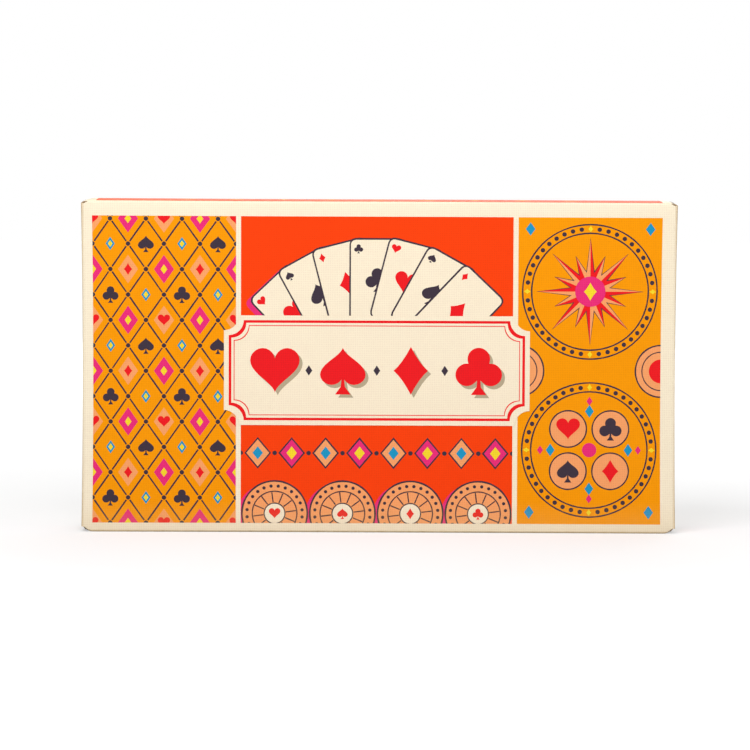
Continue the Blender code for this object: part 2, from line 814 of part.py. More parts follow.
def build_pegs(brass):
    """Six turned pegs, in two columns of three, heads at the outer ends of the compartment."""
    length, _ = compartment_size()
    middle = compartment_middle()
    pitch = 2 * PEG_HEAD_RADIUS + SEAT_GAP
    depth = BED - BASE_PLANK_THICKNESS + PEG_HEAD_RADIUS
    for number in range(PEG_COUNT):
        column, row = divmod(number, PEG_ROWS)
        direction = -1 if column == 0 else 1
        shape = bmesh.new()
        points = [shape.verts.new((radius, 0, height)) for radius, height in peg_profile()]
        edges = [shape.edges.new(pair) for pair in zip(points, points[1:])]
        bmesh.ops.spin(
            shape,
            geom=points + edges,
            cent=(0, 0, 0),
            axis=(0, 0, 1),
            angle=2 * math.pi,
            steps=PEG_SIDES,
        )
        bmesh.ops.remove_doubles(shape, verts=shape.verts, dist=PEG_TIP_RADIUS * PEG_MERGE_SHARE)
        turn = Matrix.Rotation(direction * math.pi / 2, 4, "Y")
        tip = middle + direction * SEAT_GAP / 2
        place = Matrix.Translation(
            (tip, depth, BOARD_MIDDLE + (row - (PEG_ROWS - 1) / 2) * pitch)
        )
        bmesh.ops.transform(shape, verts=shape.verts, matrix=place @ turn)
        add_object(f"peg_{number + 1}", shape, brass)


# Cards and rules


def build_deck(paper):
    """The deck, wrapped tight, with the cards' rounded corners."""
    left = -TRAY_LENGTH / 2 + TRAY_CALIPER + 2 * SEAT_GAP
    outline = rounded(
        rectangle(left, DECK_BOTTOM, left + CARD_LENGTH, DECK_BOTTOM + CARD_WIDTH),
        [CARD_CORNER_RADIUS] * 4,
    )
    prism("card_deck", outline, "Y", BED - DECK_THICKNESS, BED, paper)


def build_rules_sheet(paper, bay_left):
    """Rules sheet folded in three like a Z, lying on the tray floor beside the deck."""
    pitch = SHEET_CALIPER + SEAT_GAP
    first, second, third = (BED - panel * pitch for panel in range(SHEET_PANELS))
    thin = SHEET_CALIPER
    low, high = DECK_BOTTOM, DECK_BOTTOM + SHEET_FOLDED_HEIGHT
    outline = [
        (first, low),
        (first, high),
        (second - thin, high),
        (second - thin, low + thin),
        (third, low + thin),
        (third, high),
        (third - thin, high),
        (third - thin, low),
        (second, low),
        (second, high - thin),
        (first - thin, high - thin),
        (first - thin, low),
    ]
    left = bay_left + SEAT_GAP
    prism("rules_sheet", outline, "X", left, left + SHEET_LENGTH, paper)


def build_object():
    clear_scene()
    board = make_material("printed_paperboard", (0.93, 0.84, 0.66), 0.6)
    grey = make_material("greyboard", (0.36, 0.31, 0.25), 0.85)
    wood = make_material("beech", (0.78, 0.50, 0.28), 0.5)
    brass = make_material("brass", (0.80, 0.60, 0.24), 0.3, 1.0)
    paper = make_material("white_paper", (0.86, 0.84, 0.78), 0.55)
    build_front_panel(board)
    build_back_panel(board)
    build_side_panels(board)
    build_glue_flap(board)
    for end, side in (("right", 1), ("left", -1)):
        build_closure_panel(end, side, board)
        build_tuck_tab(end, side, board)
        build_dust_flap(end, side, "top", 1, board)
        build_dust_flap(end, side, "bottom", -1, board)
    build_tray(grey)
    bay_left = build_dividers(grey)
    build_drilled_plank(wood)
    build_base_plank(wood)
    build_peg_cover(brass)
    build_pegs(brass)
    build_deck(paper)
    build_rules_sheet(paper, bay_left)


build_object()
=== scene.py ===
import math
from collections import defaultdict
from functools import partial

import bpy
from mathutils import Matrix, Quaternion, Vector


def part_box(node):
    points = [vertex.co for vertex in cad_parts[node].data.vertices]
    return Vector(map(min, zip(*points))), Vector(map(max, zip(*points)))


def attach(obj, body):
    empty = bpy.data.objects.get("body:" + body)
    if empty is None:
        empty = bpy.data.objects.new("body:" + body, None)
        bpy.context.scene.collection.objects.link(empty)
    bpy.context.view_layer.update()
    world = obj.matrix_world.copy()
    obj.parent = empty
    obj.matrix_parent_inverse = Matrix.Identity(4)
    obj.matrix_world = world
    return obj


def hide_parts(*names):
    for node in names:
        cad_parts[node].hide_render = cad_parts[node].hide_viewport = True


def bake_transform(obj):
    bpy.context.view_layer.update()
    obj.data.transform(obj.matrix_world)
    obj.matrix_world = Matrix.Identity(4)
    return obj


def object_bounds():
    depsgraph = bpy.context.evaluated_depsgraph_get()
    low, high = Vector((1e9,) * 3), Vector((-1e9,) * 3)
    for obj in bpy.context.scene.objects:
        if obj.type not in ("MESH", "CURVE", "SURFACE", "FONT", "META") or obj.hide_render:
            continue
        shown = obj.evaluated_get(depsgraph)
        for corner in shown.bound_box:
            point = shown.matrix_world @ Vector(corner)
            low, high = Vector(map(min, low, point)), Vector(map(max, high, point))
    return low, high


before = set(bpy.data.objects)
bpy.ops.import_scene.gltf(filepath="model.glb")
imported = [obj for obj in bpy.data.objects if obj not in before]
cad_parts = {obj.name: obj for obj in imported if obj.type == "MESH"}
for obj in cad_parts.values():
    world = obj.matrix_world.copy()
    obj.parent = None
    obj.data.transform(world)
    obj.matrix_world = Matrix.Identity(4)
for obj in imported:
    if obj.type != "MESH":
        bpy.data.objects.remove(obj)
cad_low, cad_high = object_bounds()

# Carton sleeve
# Back, top, front and bottom panels and the glue flap are one die-cut sheet of 0.6 mm boxboard, folded round
# four long creases and glued. Its coated outside is printed in flat inks, embossed like linen and matt
# varnished, and its inside is brown. Filled, it settles: the ends draw in and the panels crown or dish.
MM = 0.001
ROOT = "carton_and_contents"
LENGTH = cad_high.x - cad_low.x
DEPTH = cad_high.y - cad_low.y
HEIGHT = cad_high.z - cad_low.z
PRINT_ROOM = 0.2 * MM
FRONT_FACE = cad_low.y + PRINT_ROOM
BACK_FACE = cad_high.y - PRINT_ROOM / 2
CALIPER = 0.6 * MM
CREASE_RADIUS = 1.0 * MM
CREASE_STEPS = 5
QUARTER_TURN = math.pi / 2
SMOOTH_BELOW = math.radians(25)
CELL = 5 * MM
HAIR = 0.01 * MM

# The die-cut outline: how far each panel reaches along the carton, and the clips at the front's corners.
SLEEVE_END = LENGTH / 2 - 1.3 * MM
SIDE_PANEL_END = LENGTH / 2 - 2.2 * MM
BACK_PANEL_END = LENGTH / 2 - 0.3 * MM
BACK_EDGE = 0.4 * MM
TOP_CLIP = (2.6 * MM, 0.8 * MM)
BOTTOM_CLIP = (2.8 * MM, 1.0 * MM)
CLIP_ROUND = 0.6
GLUE_FLAP_WIDTH = 15 * MM
GLUE_FLAP_INSET = 5 * MM
GLUE_FLAP_TAPER = 0.36
GLUE_FLAP_BACK = BACK_FACE - CALIPER - 0.3 * MM
RED_REACH = 141.5 * MM
RED_RISE = 0.1 * MM
END_SHARES = (0.25, 0.5, 0.75, 1.0)

# How far the filled carton's ends, faces and corners lie from those of a true box.
END_PINCH = 0.75 * MM
PINCH_REACH = 30 * MM
PANEL_DISH = 0.45 * MM
TOP_CROWN = 0.25 * MM
BOTTOM_CROWN = 0.15 * MM
CROWN_REACH = 22 * MM
CROWN_SLANT = 0.35
CROWN_WAVE = 0.22
WAVE_TURN = 5.2
WAVE_START = 1.9
TOP_LEAN = 0.4 * MM
TOP_DROOP = 0.8 * MM
BOTTOM_LIFT = 2.0 * MM
DROOP_REACH = 5.5 * MM


def ease(share):
    """A smooth ramp from 0 to 1."""
    share = max(0.0, min(1.0, share))
    return share * share * (3 - 2 * share)


def settle(point):
    """Moves a point of the ideal carton to where it lies on the filled one."""
    along = point.x / (LENGTH / 2)
    across = max(-1.0, min(1.0, point.y / (DEPTH / 2)))
    up = point.z / HEIGHT
    from_end = LENGTH / 2 - abs(point.x)
    between_ends = max(0.0, 1 - along * along)
    between_folds = max(0.0, 1 - (2 * up - 1) ** 2)
    near_end = ease((PINCH_REACH - from_end) / PINCH_REACH)
    near_top = ease((point.z - HEIGHT + CROWN_REACH) / CROWN_REACH)
    near_bottom = ease((CROWN_REACH - point.z) / CROWN_REACH)
    crown = 1 - CROWN_SLANT * along + CROWN_WAVE * math.cos(WAVE_TURN * along + WAVE_START)
    pulled = ease((DROOP_REACH - from_end) / DROOP_REACH)
    drop = TOP_CROWN * crown * across * across + TOP_LEAN * (1 + along) / 2 + TOP_DROOP * pulled
    lift = BOTTOM_CROWN * across * across * between_ends + BOTTOM_LIFT * pulled
    return Vector(
        (
            point.x - math.copysign(END_PINCH * between_folds * near_end, point.x),
            point.y - PANEL_DISH * across * between_ends * between_folds,
            point.z - drop * near_top + lift * near_bottom,
        )
    )


def path_stops(start, heading, moves, spacing):
    """Stops along a folded section: the place of each and its distance from the start. Folds turn left."""
    place, travelled = Vector(start), 0.0
    stops = [(place.copy(), travelled)]
    for kind, amount in moves:
        if kind == "run":
            steps = max(1, round(amount / spacing))
            for _ in range(steps):
                place = place + Vector((math.cos(heading), math.sin(heading))) * amount / steps
                travelled += amount / steps
                stops.append((place.copy(), travelled))
            continue
        centre = place + Vector((-math.sin(heading), math.cos(heading))) * CREASE_RADIUS
        for _ in range(CREASE_STEPS):
            heading += amount / CREASE_STEPS
            travelled += abs(amount) * CREASE_RADIUS / CREASE_STEPS
            place = centre - Vector((-math.sin(heading), math.cos(heading))) * CREASE_RADIUS
            stops.append((place.copy(), travelled))
    return stops


def spread(low, high, spacing, marks=()):
    """Evenly spread values from low to high, with the marks among them."""
    count = max(1, round((high - low) / spacing))
    values = [low + (high - low) * step / count for step in range(count + 1)]
    inner = [mark for mark in marks if low < mark < high]
    values = [v for v in values if all(abs(v - mark) > spacing / 3 for mark in inner)]
    return sorted(set(values + inner + [low, high]))


def pick(items):
    """Leaves only these pieces selected, with the first of them active."""
    for item in bpy.context.selected_objects:
        item.select_set(False)
    for item in items:
        item.select_set(True)
    if items:
        bpy.context.view_layer.objects.active = items[0]


def grid_sheet(name, rows, columns, place):
    """A flat grid whose vertices are then placed by row and column."""
    pick([])
    bpy.ops.mesh.primitive_grid_add(x_subdivisions=len(columns) - 1, y_subdivisions=len(rows) - 1, size=2)
    sheet = bpy.context.object
    sheet.name = name
    for vert in sheet.data.vertices:
        column = round((vert.co.x + 1) / 2 * (len(columns) - 1))
        row = round((vert.co.y + 1) / 2 * (len(rows) - 1))
        vert.co = place(rows[row], columns[column], column)
    return sheet


def keep_rest_place(item):
    """Stores where each point is at rest, so that print and fibres turn with a flap that bends."""
    store = item.data.attributes.new("rest_place", "FLOAT_VECTOR", "POINT")
    for vert, kept in zip(item.data.vertices, store.data):
        kept.vector = vert.co


def make_board(sheet, faces):
    """Settles a sheet and gives it its thickness, with brown board on the inside and at every cut edge."""
    for material in faces + [brown_board]:
        sheet.data.materials.append(material)
    for vert in sheet.data.vertices:
        vert.co = settle(vert.co)
    wall = sheet.modifiers.new("wall", "SOLIDIFY")
    wall.thickness = CALIPER
    wall.offset = -1
    wall.use_even_offset = True
    wall.material_offset = len(faces)
    wall.material_offset_rim = len(faces)
    pick([sheet])
    bpy.ops.object.modifier_apply(modifier=wall.name)
    bpy.ops.object.shade_smooth_by_angle(angle=SMOOTH_BELOW)
    keep_rest_place(sheet)


# A wave texture of scale 1 has a band every pi / 10, and the threads and stacks are set from that.
WAVE_BAND = math.pi / 10
# Real linen emboss has some 20 threads to the centimetre, too fine for the picture, so it is drawn coarser.
LINEN_PITCH = 0.9 * MM
LINEN_DEPTH = 0.03 * MM
LINEN_WANDER = 9.0 * MM
MOTTLE_SIZE = 4.0 * MM
FIBRE_SIZE = 0.7 * MM
INK_PALE = 1.08
INK_DEEP = 0.85
# The tan of rubbed board, also laid on as painted shade.
WEAR_AND_SHADE_TAN = "#cfae78"
# Where wear and painted shade start, where they are full, and how strong they are there.
# The tan at the front's end creases and at the bottom fold is partly wear and partly painted shade.
END_WEAR_AND_SHADE = (LENGTH / 2 - 1.5 * MM, LENGTH / 2 - 0.3 * MM, 0.75)
FRONT_WEAR_AND_SHADE = (FRONT_FACE + 2.5 * MM, FRONT_FACE + 0.8 * MM, 1)
FOOT_WEAR_AND_SHADE = (1.5 * MM, 0.2 * MM, 0.8)
# Painted shade: over the lowest 16 mm the print darkens towards tan, most at the foot.
FOOT_PAINTED_SHADE = (16 * MM, 1.0 * MM, 0.16)
TOP_WEAR = (HEIGHT - 0.8 * MM, HEIGHT - 0.1 * MM, 0.22)
# The sockets of a Mix node for its two colours, and for what comes out.
MIX_FROM, MIX_TO, MIXED = 6, 7, 2


def colour(hex_code, level=1.0):
    """Linear RGBA from an sRGB hex value, made lighter or darker by a level."""
    parts = [int(hex_code[place : place + 2], 16) / 255 for place in (1, 3, 5)]
    linear = [p / 12.92 if p <= 0.04045 else ((p + 0.055) / 1.055) ** 2.4 for p in parts]
    return [min(1.0, part * level) for part in linear] + [1]


def connect(node, links):
    """Links outputs of earlier nodes to the inputs of a node."""
    for socket, source in dict(links).items():
        node.id_data.links.new(source, node.inputs[socket])


def add_node(owner, kind, settings=(), links=()):
    """Adds a node with its properties, inputs, colour stops and links, and returns its outputs."""
    node = owner.node_tree.nodes.new("ShaderNode" + kind)
    for name, value in dict(settings).items():
        if name == "stops":
            for stop, (position, hex_code) in zip(node.color_ramp.elements, value):
                stop.position = position
                stop.color = colour(hex_code)
        elif isinstance(name, str) and hasattr(node, name):
            setattr(node, name, value)
        else:
            node.inputs[name].default_value = value
    connect(node, links)
    return node.outputs


def new_material(name, roughness, specular=0.5):
    """A material, as matt and as reflective as given, with its shader and with what adds its nodes."""
    material = bpy.data.materials.new(name)
    material.use_nodes = True
    shader = material.node_tree.nodes["Principled BSDF"]
    shader.inputs["Roughness"].default_value = roughness
    shader.inputs["Specular IOR Level"].default_value = specular
    return material, shader, partial(add_node, material)


def wear_and_painted_shade(add, place, unevenness):
    """How much tan: wear at the top fold, wear and painted shade at end creases and bottom fold, painted
    shade at the foot.
    """
    split = add("SeparateXYZ", {}, {"Vector": place})
    away = add("Math", {"operation": "ABSOLUTE"}, {0: split["X"]})[0]
    shares = []
    for source, (start, end, most) in (
        (away, END_WEAR_AND_SHADE),
        (split["Y"], FRONT_WEAR_AND_SHADE),
        (split["Z"], FOOT_WEAR_AND_SHADE),
        (split["Z"], FOOT_PAINTED_SHADE),
        (split["Z"], TOP_WEAR),
    ):
        limits = {"From Min": start, "From Max": end, "To Max": most}
        shares.append(add("MapRange", limits, {"Value": source})["Result"])
    at_end, at_front, *others = shares
    rub_and_shade = add("Math", {"operation": "MULTIPLY"}, {0: at_end, 1: at_front})[0]
    for other in others:
        rub_and_shade = add("Math", {"operation": "MAXIMUM"}, {0: rub_and_shade, 1: other})[0]
    return add("Math", {"operation": "MULTIPLY"}, {0: rub_and_shade, 1: unevenness})[0]


def printed(name, hex_code):
    """Offset ink or bare coated board under matt varnish: an even colour, softer on the linen's threads."""
    material, shader, add = new_material(name, 0.6, 0.08)
    place = add("Attribute", {"attribute_name": "rest_place"})["Vector"]
    wander, mottle, grain = [
        add("TexNoise", {"Scale": 1 / size, "Detail": detail, "Roughness": rough}, {"Vector": place})["Fac"]
        for size, detail, rough in ((LINEN_WANDER, 2, 0.5), (MOTTLE_SIZE, 4, 0.6), (FIBRE_SIZE, 2, 0.7))
    ]
    weave = {"Scale": WAVE_BAND / LINEN_PITCH, "Distortion": 1.1, "Detail": 1.0, "Detail Scale": 1.3}
    warp, weft = [
        add("TexWave", {"bands_direction": way, **weave}, {"Vector": place})["Fac"] for way in ("X", "Z")
    ]
    crossed = add("Math", {"operation": "MAXIMUM"}, {0: warp, 1: weft})[0]
    limits = {"From Min": 0.3, "From Max": 0.7, "To Min": 0.9}
    thickness = add("MapRange", limits, {"Value": wander})["Result"]
    linen = add("Math", {"operation": "MULTIPLY"}, {0: crossed, 1: thickness})[0]
    limits = {"From Min": 0.28, "From Max": 1.18, "To Min": 0.15, "To Max": 0.75}
    tone = add("MapRange", limits, {"Value": linen})["Result"]
    for share, source in ((0.5, grain), (0.15, mottle)):
        settings = {"operation": "MULTIPLY_ADD", 1: share}
        tone = add("Math", settings, {0: source, 2: tone})[0]
    evened = add("MapRange", {"From Min": 0.3, "From Max": 1.1}, {"Value": tone})["Result"]
    shades = {"data_type": "RGBA", MIX_FROM: colour(hex_code, INK_DEEP), MIX_TO: colour(hex_code, INK_PALE)}
    ink = add("Mix", shades, {"Factor": evened})[MIXED]
    unevenness = add("Math", {"operation": "ADD"}, {0: grain, 1: mottle})[0]
    # The print turns tan where it is rubbed and where shade is painted: the end creases, the bottom fold and
    # the foot.
    rub_and_shade = wear_and_painted_shade(add, place, unevenness)
    board = {"data_type": "RGBA", MIX_TO: colour(WEAR_AND_SHADE_TAN)}
    worn_and_shaded = add("Mix", board, {"Factor": rub_and_shade, MIX_FROM: ink})[MIXED]
    emboss = {"Strength": 0.35, "Distance": LINEN_DEPTH}
    bump = add("Bump", emboss, {"Height": linen})["Normal"]
    connect(shader, {"Base Color": worn_and_shaded, "Normal": bump})
    return material


def uncoated(name, hex_code, fleck_code):
    """Uncoated board: quite matt, with short flecks of darker fibre that lie along it."""
    material, shader, add = new_material(name, 0.9, 0.2)
    place = add("Attribute", {"attribute_name": "rest_place"})["Vector"]
    stretch = add("Mapping", {"Scale": (0.35, 1, 1)}, {"Vector": place})["Vector"]
    noise = {"Scale": 1 / FIBRE_SIZE, "Detail": 5, "Roughness": 0.65}
    fibre = add("TexNoise", noise, {"Vector": stretch})["Fac"]
    stops = {"stops": ((0.3, fleck_code), (0.56, hex_code))}
    flecked = add("ValToRGB", stops, {"Fac": fibre})["Color"]
    rough = {"Strength": 0.4, "Distance": 0.05 * MM}
    bump = add("Bump", rough, {"Height": fibre})["Normal"]
    connect(shader, {"Base Color": flecked, "Normal": bump})
    return material


inks = {
    "cream": printed("cream_coated_board", "#ffecd1"),
    "red_orange": printed("red_orange_ink", "#ff4208"),
}
brown_board = uncoated("brown_boxboard", "#a98b66", "#8a6c4a")

sleeve_moves = [
    ("run", HEIGHT - CREASE_RADIUS - BACK_EDGE),
    ("fold", QUARTER_TURN),
    ("run", BACK_FACE - FRONT_FACE - 2 * CREASE_RADIUS),
    ("fold", QUARTER_TURN),
    ("run", HEIGHT - 2 * CREASE_RADIUS),
    ("fold", QUARTER_TURN),
    ("run", GLUE_FLAP_BACK - FRONT_FACE - 2 * CREASE_RADIUS),
    ("fold", QUARTER_TURN),
    ("run", GLUE_FLAP_WIDTH - CREASE_RADIUS),
]
clip_marks = [BOTTOM_CLIP[1] * share for share in (0.3, 0.6, 1)]
clip_marks += [HEIGHT - TOP_CLIP[1] * share for share in (0.4, 1)]


def with_clip_marks(stops):
    """Adds a stop to the front panel at each height where its clipped corners need one."""
    out = []
    for (here, way), (there, further) in zip(stops, stops[1:]):
        out.append((here, way))
        if abs(here.x - FRONT_FACE) > HAIR or abs(there.x - FRONT_FACE) > HAIR:
            continue
        for mark in sorted(clip_marks, reverse=True):
            if min(here.y, there.y) + HAIR < mark < max(here.y, there.y) - HAIR:
                share = (here.y - mark) / (here.y - there.y)
                out.append((here.lerp(there, share), way + (further - way) * share))
    return out + [stops[-1]]


sleeve_rows = with_clip_marks(path_stops((BACK_FACE, BACK_EDGE), QUARTER_TURN, sleeve_moves, CELL))
flap_start = sleeve_rows[-1][1] - GLUE_FLAP_WIDTH
sleeve_columns = spread(-RED_REACH, RED_REACH, CELL)


def sleeve_end(place, way):
    """How far the sheet reaches along X at a row of the sleeve."""
    if way > flap_start:
        return SLEEVE_END
    if place.x > BACK_FACE - CREASE_RADIUS / 2:
        return BACK_PANEL_END
    if place.x > FRONT_FACE + CREASE_RADIUS / 2:
        return SIDE_PANEL_END
    length, height = TOP_CLIP if place.y > HEIGHT / 2 else BOTTOM_CLIP
    to_fold = min(place.y, HEIGHT - place.y)
    return SLEEVE_END - length * ease(1 - to_fold / height) ** CLIP_ROUND


def place_sleeve(row, x, number):
    """Columns near either end follow the die-cut outline, and the rest stay in place."""
    place, way = row
    last = sleeve_columns[-1]
    if number < len(END_SHARES):
        x = -last - END_SHARES[-1 - number] * (sleeve_end(place, way) - last)
    elif number >= len(sleeve_columns) + len(END_SHARES):
        share = END_SHARES[number - len(sleeve_columns) - len(END_SHARES)]
        x = last + share * (sleeve_end(place, way) - last)
    into_flap = way - flap_start
    if into_flap > 0:
        x *= (LENGTH / 2 - GLUE_FLAP_INSET - into_flap * GLUE_FLAP_TAPER) / SLEEVE_END
    return Vector((x, place.x, place.y))


end_columns = [None] * len(END_SHARES)
sleeve = grid_sheet("carton_sleeve", sleeve_rows, end_columns + sleeve_columns + end_columns, place_sleeve)
for face in sleeve.data.polygons:
    inside = abs(face.center.x) < RED_REACH and abs(face.center.y) < DEPTH / 2 - CREASE_RADIUS
    on_long_side = face.center.z < RED_RISE or face.center.z > HEIGHT - RED_RISE
    face.material_index = 1 if inside and on_long_side else 0
if sleeve.data.polygons[0].normal.y < 0:
    sleeve.data.flip_normals()
make_board(sleeve, [inks["cream"], inks["red_orange"]])
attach(sleeve, ROOT)
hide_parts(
    "carton_front_panel",
    "carton_back_panel",
    "carton_top_panel",
    "carton_bottom_panel",
    "carton_glue_flap",
)

# Carton ends
# Each end has a closure panel hinged on the front, a tuck tab on its free edge with slits that lock behind
# the dust flaps, and two dust flaps folded in from the long sides. All are of one sheet with the sleeve,
# and each is built with its own rounded crease.
ENDS = (("right", 1), ("left", -1))
CLOSURE_INSET = 0.6 * MM
CLOSURE_FIELD_INSET = 7 * MM
CLOSURE_FIELD_MARGIN = 3 * MM
END_FACE = LENGTH / 2 - 0.06 * MM
SEAM = 0.03 * MM
TAB_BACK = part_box("right_tuck_tab")[1].y
TAB_INSET = 4.5 * MM
TAB_LENGTH = 14 * MM
TAB_CORNER = 10 * MM
SLIT_LENGTH = 9 * MM
SLIT_WIDTH = 1.2 * MM
SLIT_EASE = 0.2 * MM
DUST_LENGTH = 26 * MM
DUST_TAPER = math.tan(math.radians(30))
DUST_BACK_TAPER = math.tan(math.radians(6))
DUST_ROUND = 3 * MM
DUST_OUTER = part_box("right_dust_flap_top")[1].x
DUST_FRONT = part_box("right_dust_flap_top")[0].y
DUST_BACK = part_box("right_dust_flap_top")[1].y
DUST_CELL = 0.2


def rounded_off(into_round, radius):
    """How far an edge is drawn in at a distance into the rounding of its corner."""
    return radius - math.sqrt(max(0.0, radius**2 - max(0.0, into_round) ** 2))


def place_closure(row, z, number):
    return Vector((row[0].x, row[0].y, z))


def place_tab(row, z, number):
    """The tab has a lock slit at either end of its fold, and narrows in quarter rounds to its tip."""
    reach = END_FACE - row[0].x
    past_start = reach - CREASE_RADIUS - SLIT_EASE / 2
    in_slit = 0 < past_start < SLIT_WIDTH
    drawn_in = SLIT_LENGTH if in_slit else rounded_off(reach - TAB_LENGTH + TAB_CORNER, TAB_CORNER)
    half = HEIGHT / 2 - TAB_INSET
    return Vector((row[0].x, row[0].y, HEIGHT / 2 + (z - HEIGHT / 2) * (half - drawn_in) / half))


def place_flap(row, share, number):
    """A tapered flap with rounded corners, hung from the top. The share runs from its front to its back."""
    fall = row[0].y + HEIGHT
    slant = max(0.0, fall - CREASE_RADIUS)
    drawn_in = rounded_off(fall - DUST_LENGTH + DUST_ROUND, DUST_ROUND)
    front = DUST_FRONT + slant * DUST_TAPER
    back = DUST_BACK - slant * DUST_BACK_TAPER
    y = front + drawn_in + (back - front - 2 * drawn_in) * share
    return Vector((row[0].x, y, HEIGHT - fall))


def turned_out(sheet, side, outward):
    """Mirrors a right-hand sheet for the left end, and makes its printed face point outwards."""
    for vert in sheet.data.vertices:
        vert.co.x *= side
    sheet.data.update()
    biggest = max(sheet.data.polygons, key=lambda face: face.area)
    if biggest.normal.dot(outward) < 0:
        sheet.data.flip_normals()


for end, side in ENDS:
    moves = [
        ("run", END_FACE - CREASE_RADIUS - SLEEVE_END - SEAM),
        ("fold", QUARTER_TURN),
        ("run", TAB_BACK - FRONT_FACE - 2 * CREASE_RADIUS - 2 * SEAM),
    ]
    rows = path_stops((SLEEVE_END + SEAM, FRONT_FACE), 0, moves, CELL / 2)
    marks = [CLOSURE_FIELD_INSET, HEIGHT - CLOSURE_FIELD_INSET]
    heights = spread(CLOSURE_INSET, HEIGHT - CLOSURE_INSET, CELL, marks)
    panel = grid_sheet(f"{end}_closure", rows, heights, place_closure)
    turned_out(panel, side, Vector((side, 0, 0)))
    for face in panel.data.polygons:
        inside = marks[0] < face.center.z < marks[1]
        flat = FRONT_FACE + CLOSURE_FIELD_MARGIN < face.center.y < TAB_BACK - CLOSURE_FIELD_MARGIN
        face.material_index = 1 if inside and flat else 0
    make_board(panel, [inks["cream"], inks["red_orange"]])
    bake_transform(panel)
    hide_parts(f"{end}_closure_panel")

    moves = [
        ("run", SEAM),
        ("fold", QUARTER_TURN),
        ("run", SLIT_EASE),
        ("run", SLIT_WIDTH - SLIT_EASE),
        ("run", SLIT_EASE),
        ("run", TAB_LENGTH - CREASE_RADIUS - SLIT_WIDTH - SLIT_EASE),
    ]
    rows = path_stops((END_FACE, TAB_BACK - CREASE_RADIUS - SEAM), QUARTER_TURN, moves, CELL / 4)
    tab = grid_sheet(f"{end}_tab", rows, spread(TAB_INSET, HEIGHT - TAB_INSET, CELL), place_tab)
    turned_out(tab, side, Vector((0, 1, 0)))
    make_board(tab, [inks["cream"]])
    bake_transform(tab)
    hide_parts(f"{end}_tuck_tab")

    moves = [
        ("run", DUST_OUTER - CREASE_RADIUS - SIDE_PANEL_END - SEAM),
        ("fold", QUARTER_TURN),
        ("run", DUST_LENGTH - CREASE_RADIUS),
    ]
    rows = path_stops((SIDE_PANEL_END + SEAM, -HEIGHT), 0, moves, CELL / 4)
    for edge, fold_height, level in (("top", HEIGHT, 1), ("bottom", 0.0, -1)):
        flap = grid_sheet(f"{end}_dust_flap_{edge}_board", rows, spread(0.0, 1.0, DUST_CELL), place_flap)
        if edge == "bottom":
            for vert in flap.data.vertices:
                vert.co.z = HEIGHT - vert.co.z
        turned_out(flap, side, Vector((side, 0, 0)))
        make_board(flap, [inks["cream"]])
        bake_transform(flap)
        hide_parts(f"{end}_dust_flap_{edge}")

# Front print, left panel
# Offset inks on the varnished board, drawn flat in millimetres across and up the front. Each ink is its own
# thin film, cut into small cells so that it follows the settled panel. Here it is a harlequin lattice.
INK_STEP = 0.009 * MM
FILM_CELL = 9.0
LEFT_PANEL = (-143.5, 4.6, -71.5, 158.9)
LATTICE_STEP = (18.0, 25.47)
LATTICE_ROWS = range(-1, 14)
LATTICE_COLUMNS = range(-1, 6)
LATTICE_LINE = 0.8
LINE_SHARES = (0.1, 0.5, 0.9)
DOT = 1.15
INSET_SHARE = 0.56
RED_PIP = 6.0
DARK_PIP = 8.4
MAGENTA_MIDDLE = (1.7, 2.4)
BLUE_SIZE = (2.3, 3.3)
BLUE_MIDDLE = (1.2, 1.7)


def around(x, z, radius, angle):
    """The point at an angle on a circle."""
    return (x + radius * math.cos(angle), z + radius * math.sin(angle))


def disc(x, z, radius, count=14):
    return [around(x, z, radius, 2 * math.pi * step / count) for step in range(count)]


def lozenge(x, z, half_width, half_height):
    return [(x + half_width, z), (x, z + half_height), (x - half_width, z), (x, z - half_height)]


def rectangle(low_x, low_z, high_x, high_z):
    return [(low_x, low_z), (high_x, low_z), (high_x, high_z), (low_x, high_z)]


def placed(points, x, z, size=1.0, angle=0.0):
    """A copy of an outline, scaled, turned by an angle in degrees and moved."""
    cosine, sine = math.cos(math.radians(angle)), math.sin(math.radians(angle))
    return [
        (x + size * (px * cosine - pz * sine), z + size * (px * sine + pz * cosine)) for px, pz in points
    ]


def stroke(points, width, closed=True, wobble=0.1):
    """Outlines of a pen line along the points, a little uneven in width as if drawn by hand."""
    count = len(points)
    left, right = [], []
    for place, (x, z) in enumerate(points):
        before = points[place - 1] if closed or place > 0 else points[place]
        after = points[(place + 1) % count] if closed or place < count - 1 else points[place]
        first = Vector((x - before[0], z - before[1])).normalized()
        second = Vector((after[0] - x, after[1] - z)).normalized()
        way = (first + second).normalized()
        side = Vector((-way.y, way.x))
        edge = first if first.length > 0 else second
        lean = max(0.6, abs(side.dot(Vector((-edge.y, edge.x)))))
        half = width / 2 * (1 + wobble * math.sin(place * 1.7 + x * 0.3 + z * 0.2)) / lean
        left.append((x + side.x * half, z + side.y * half))
        right.append((x - side.x * half, z - side.y * half))
    return [left, right] if closed else [left + right[::-1]]


def carrier(across, up, origin, bend=settle):
    """Carries points of a flat drawing to a face, given how its two axes run there and where it starts."""
    across, up = Vector(across), Vector(up)

    def carry(x, z, height):
        return bend(Vector(origin) + (across * x + up * z) * MM) + across.cross(up) * height

    return carry


on_front = carrier((1, 0, 0), (0, 0, 1), (0, FRONT_FACE, 0))


def cut(axis, line, drop=None):
    """Cuts the sheet that is being edited along a line across one axis, and can drop one side of it."""
    bpy.ops.mesh.select_all(action="SELECT")
    bpy.ops.mesh.bisect(
        plane_co=[line if each == axis else 0 for each in range(3)],
        plane_no=[1 if each == axis else 0 for each in range(3)],
        clear_inner=drop == "below",
        clear_outer=drop == "above",
    )


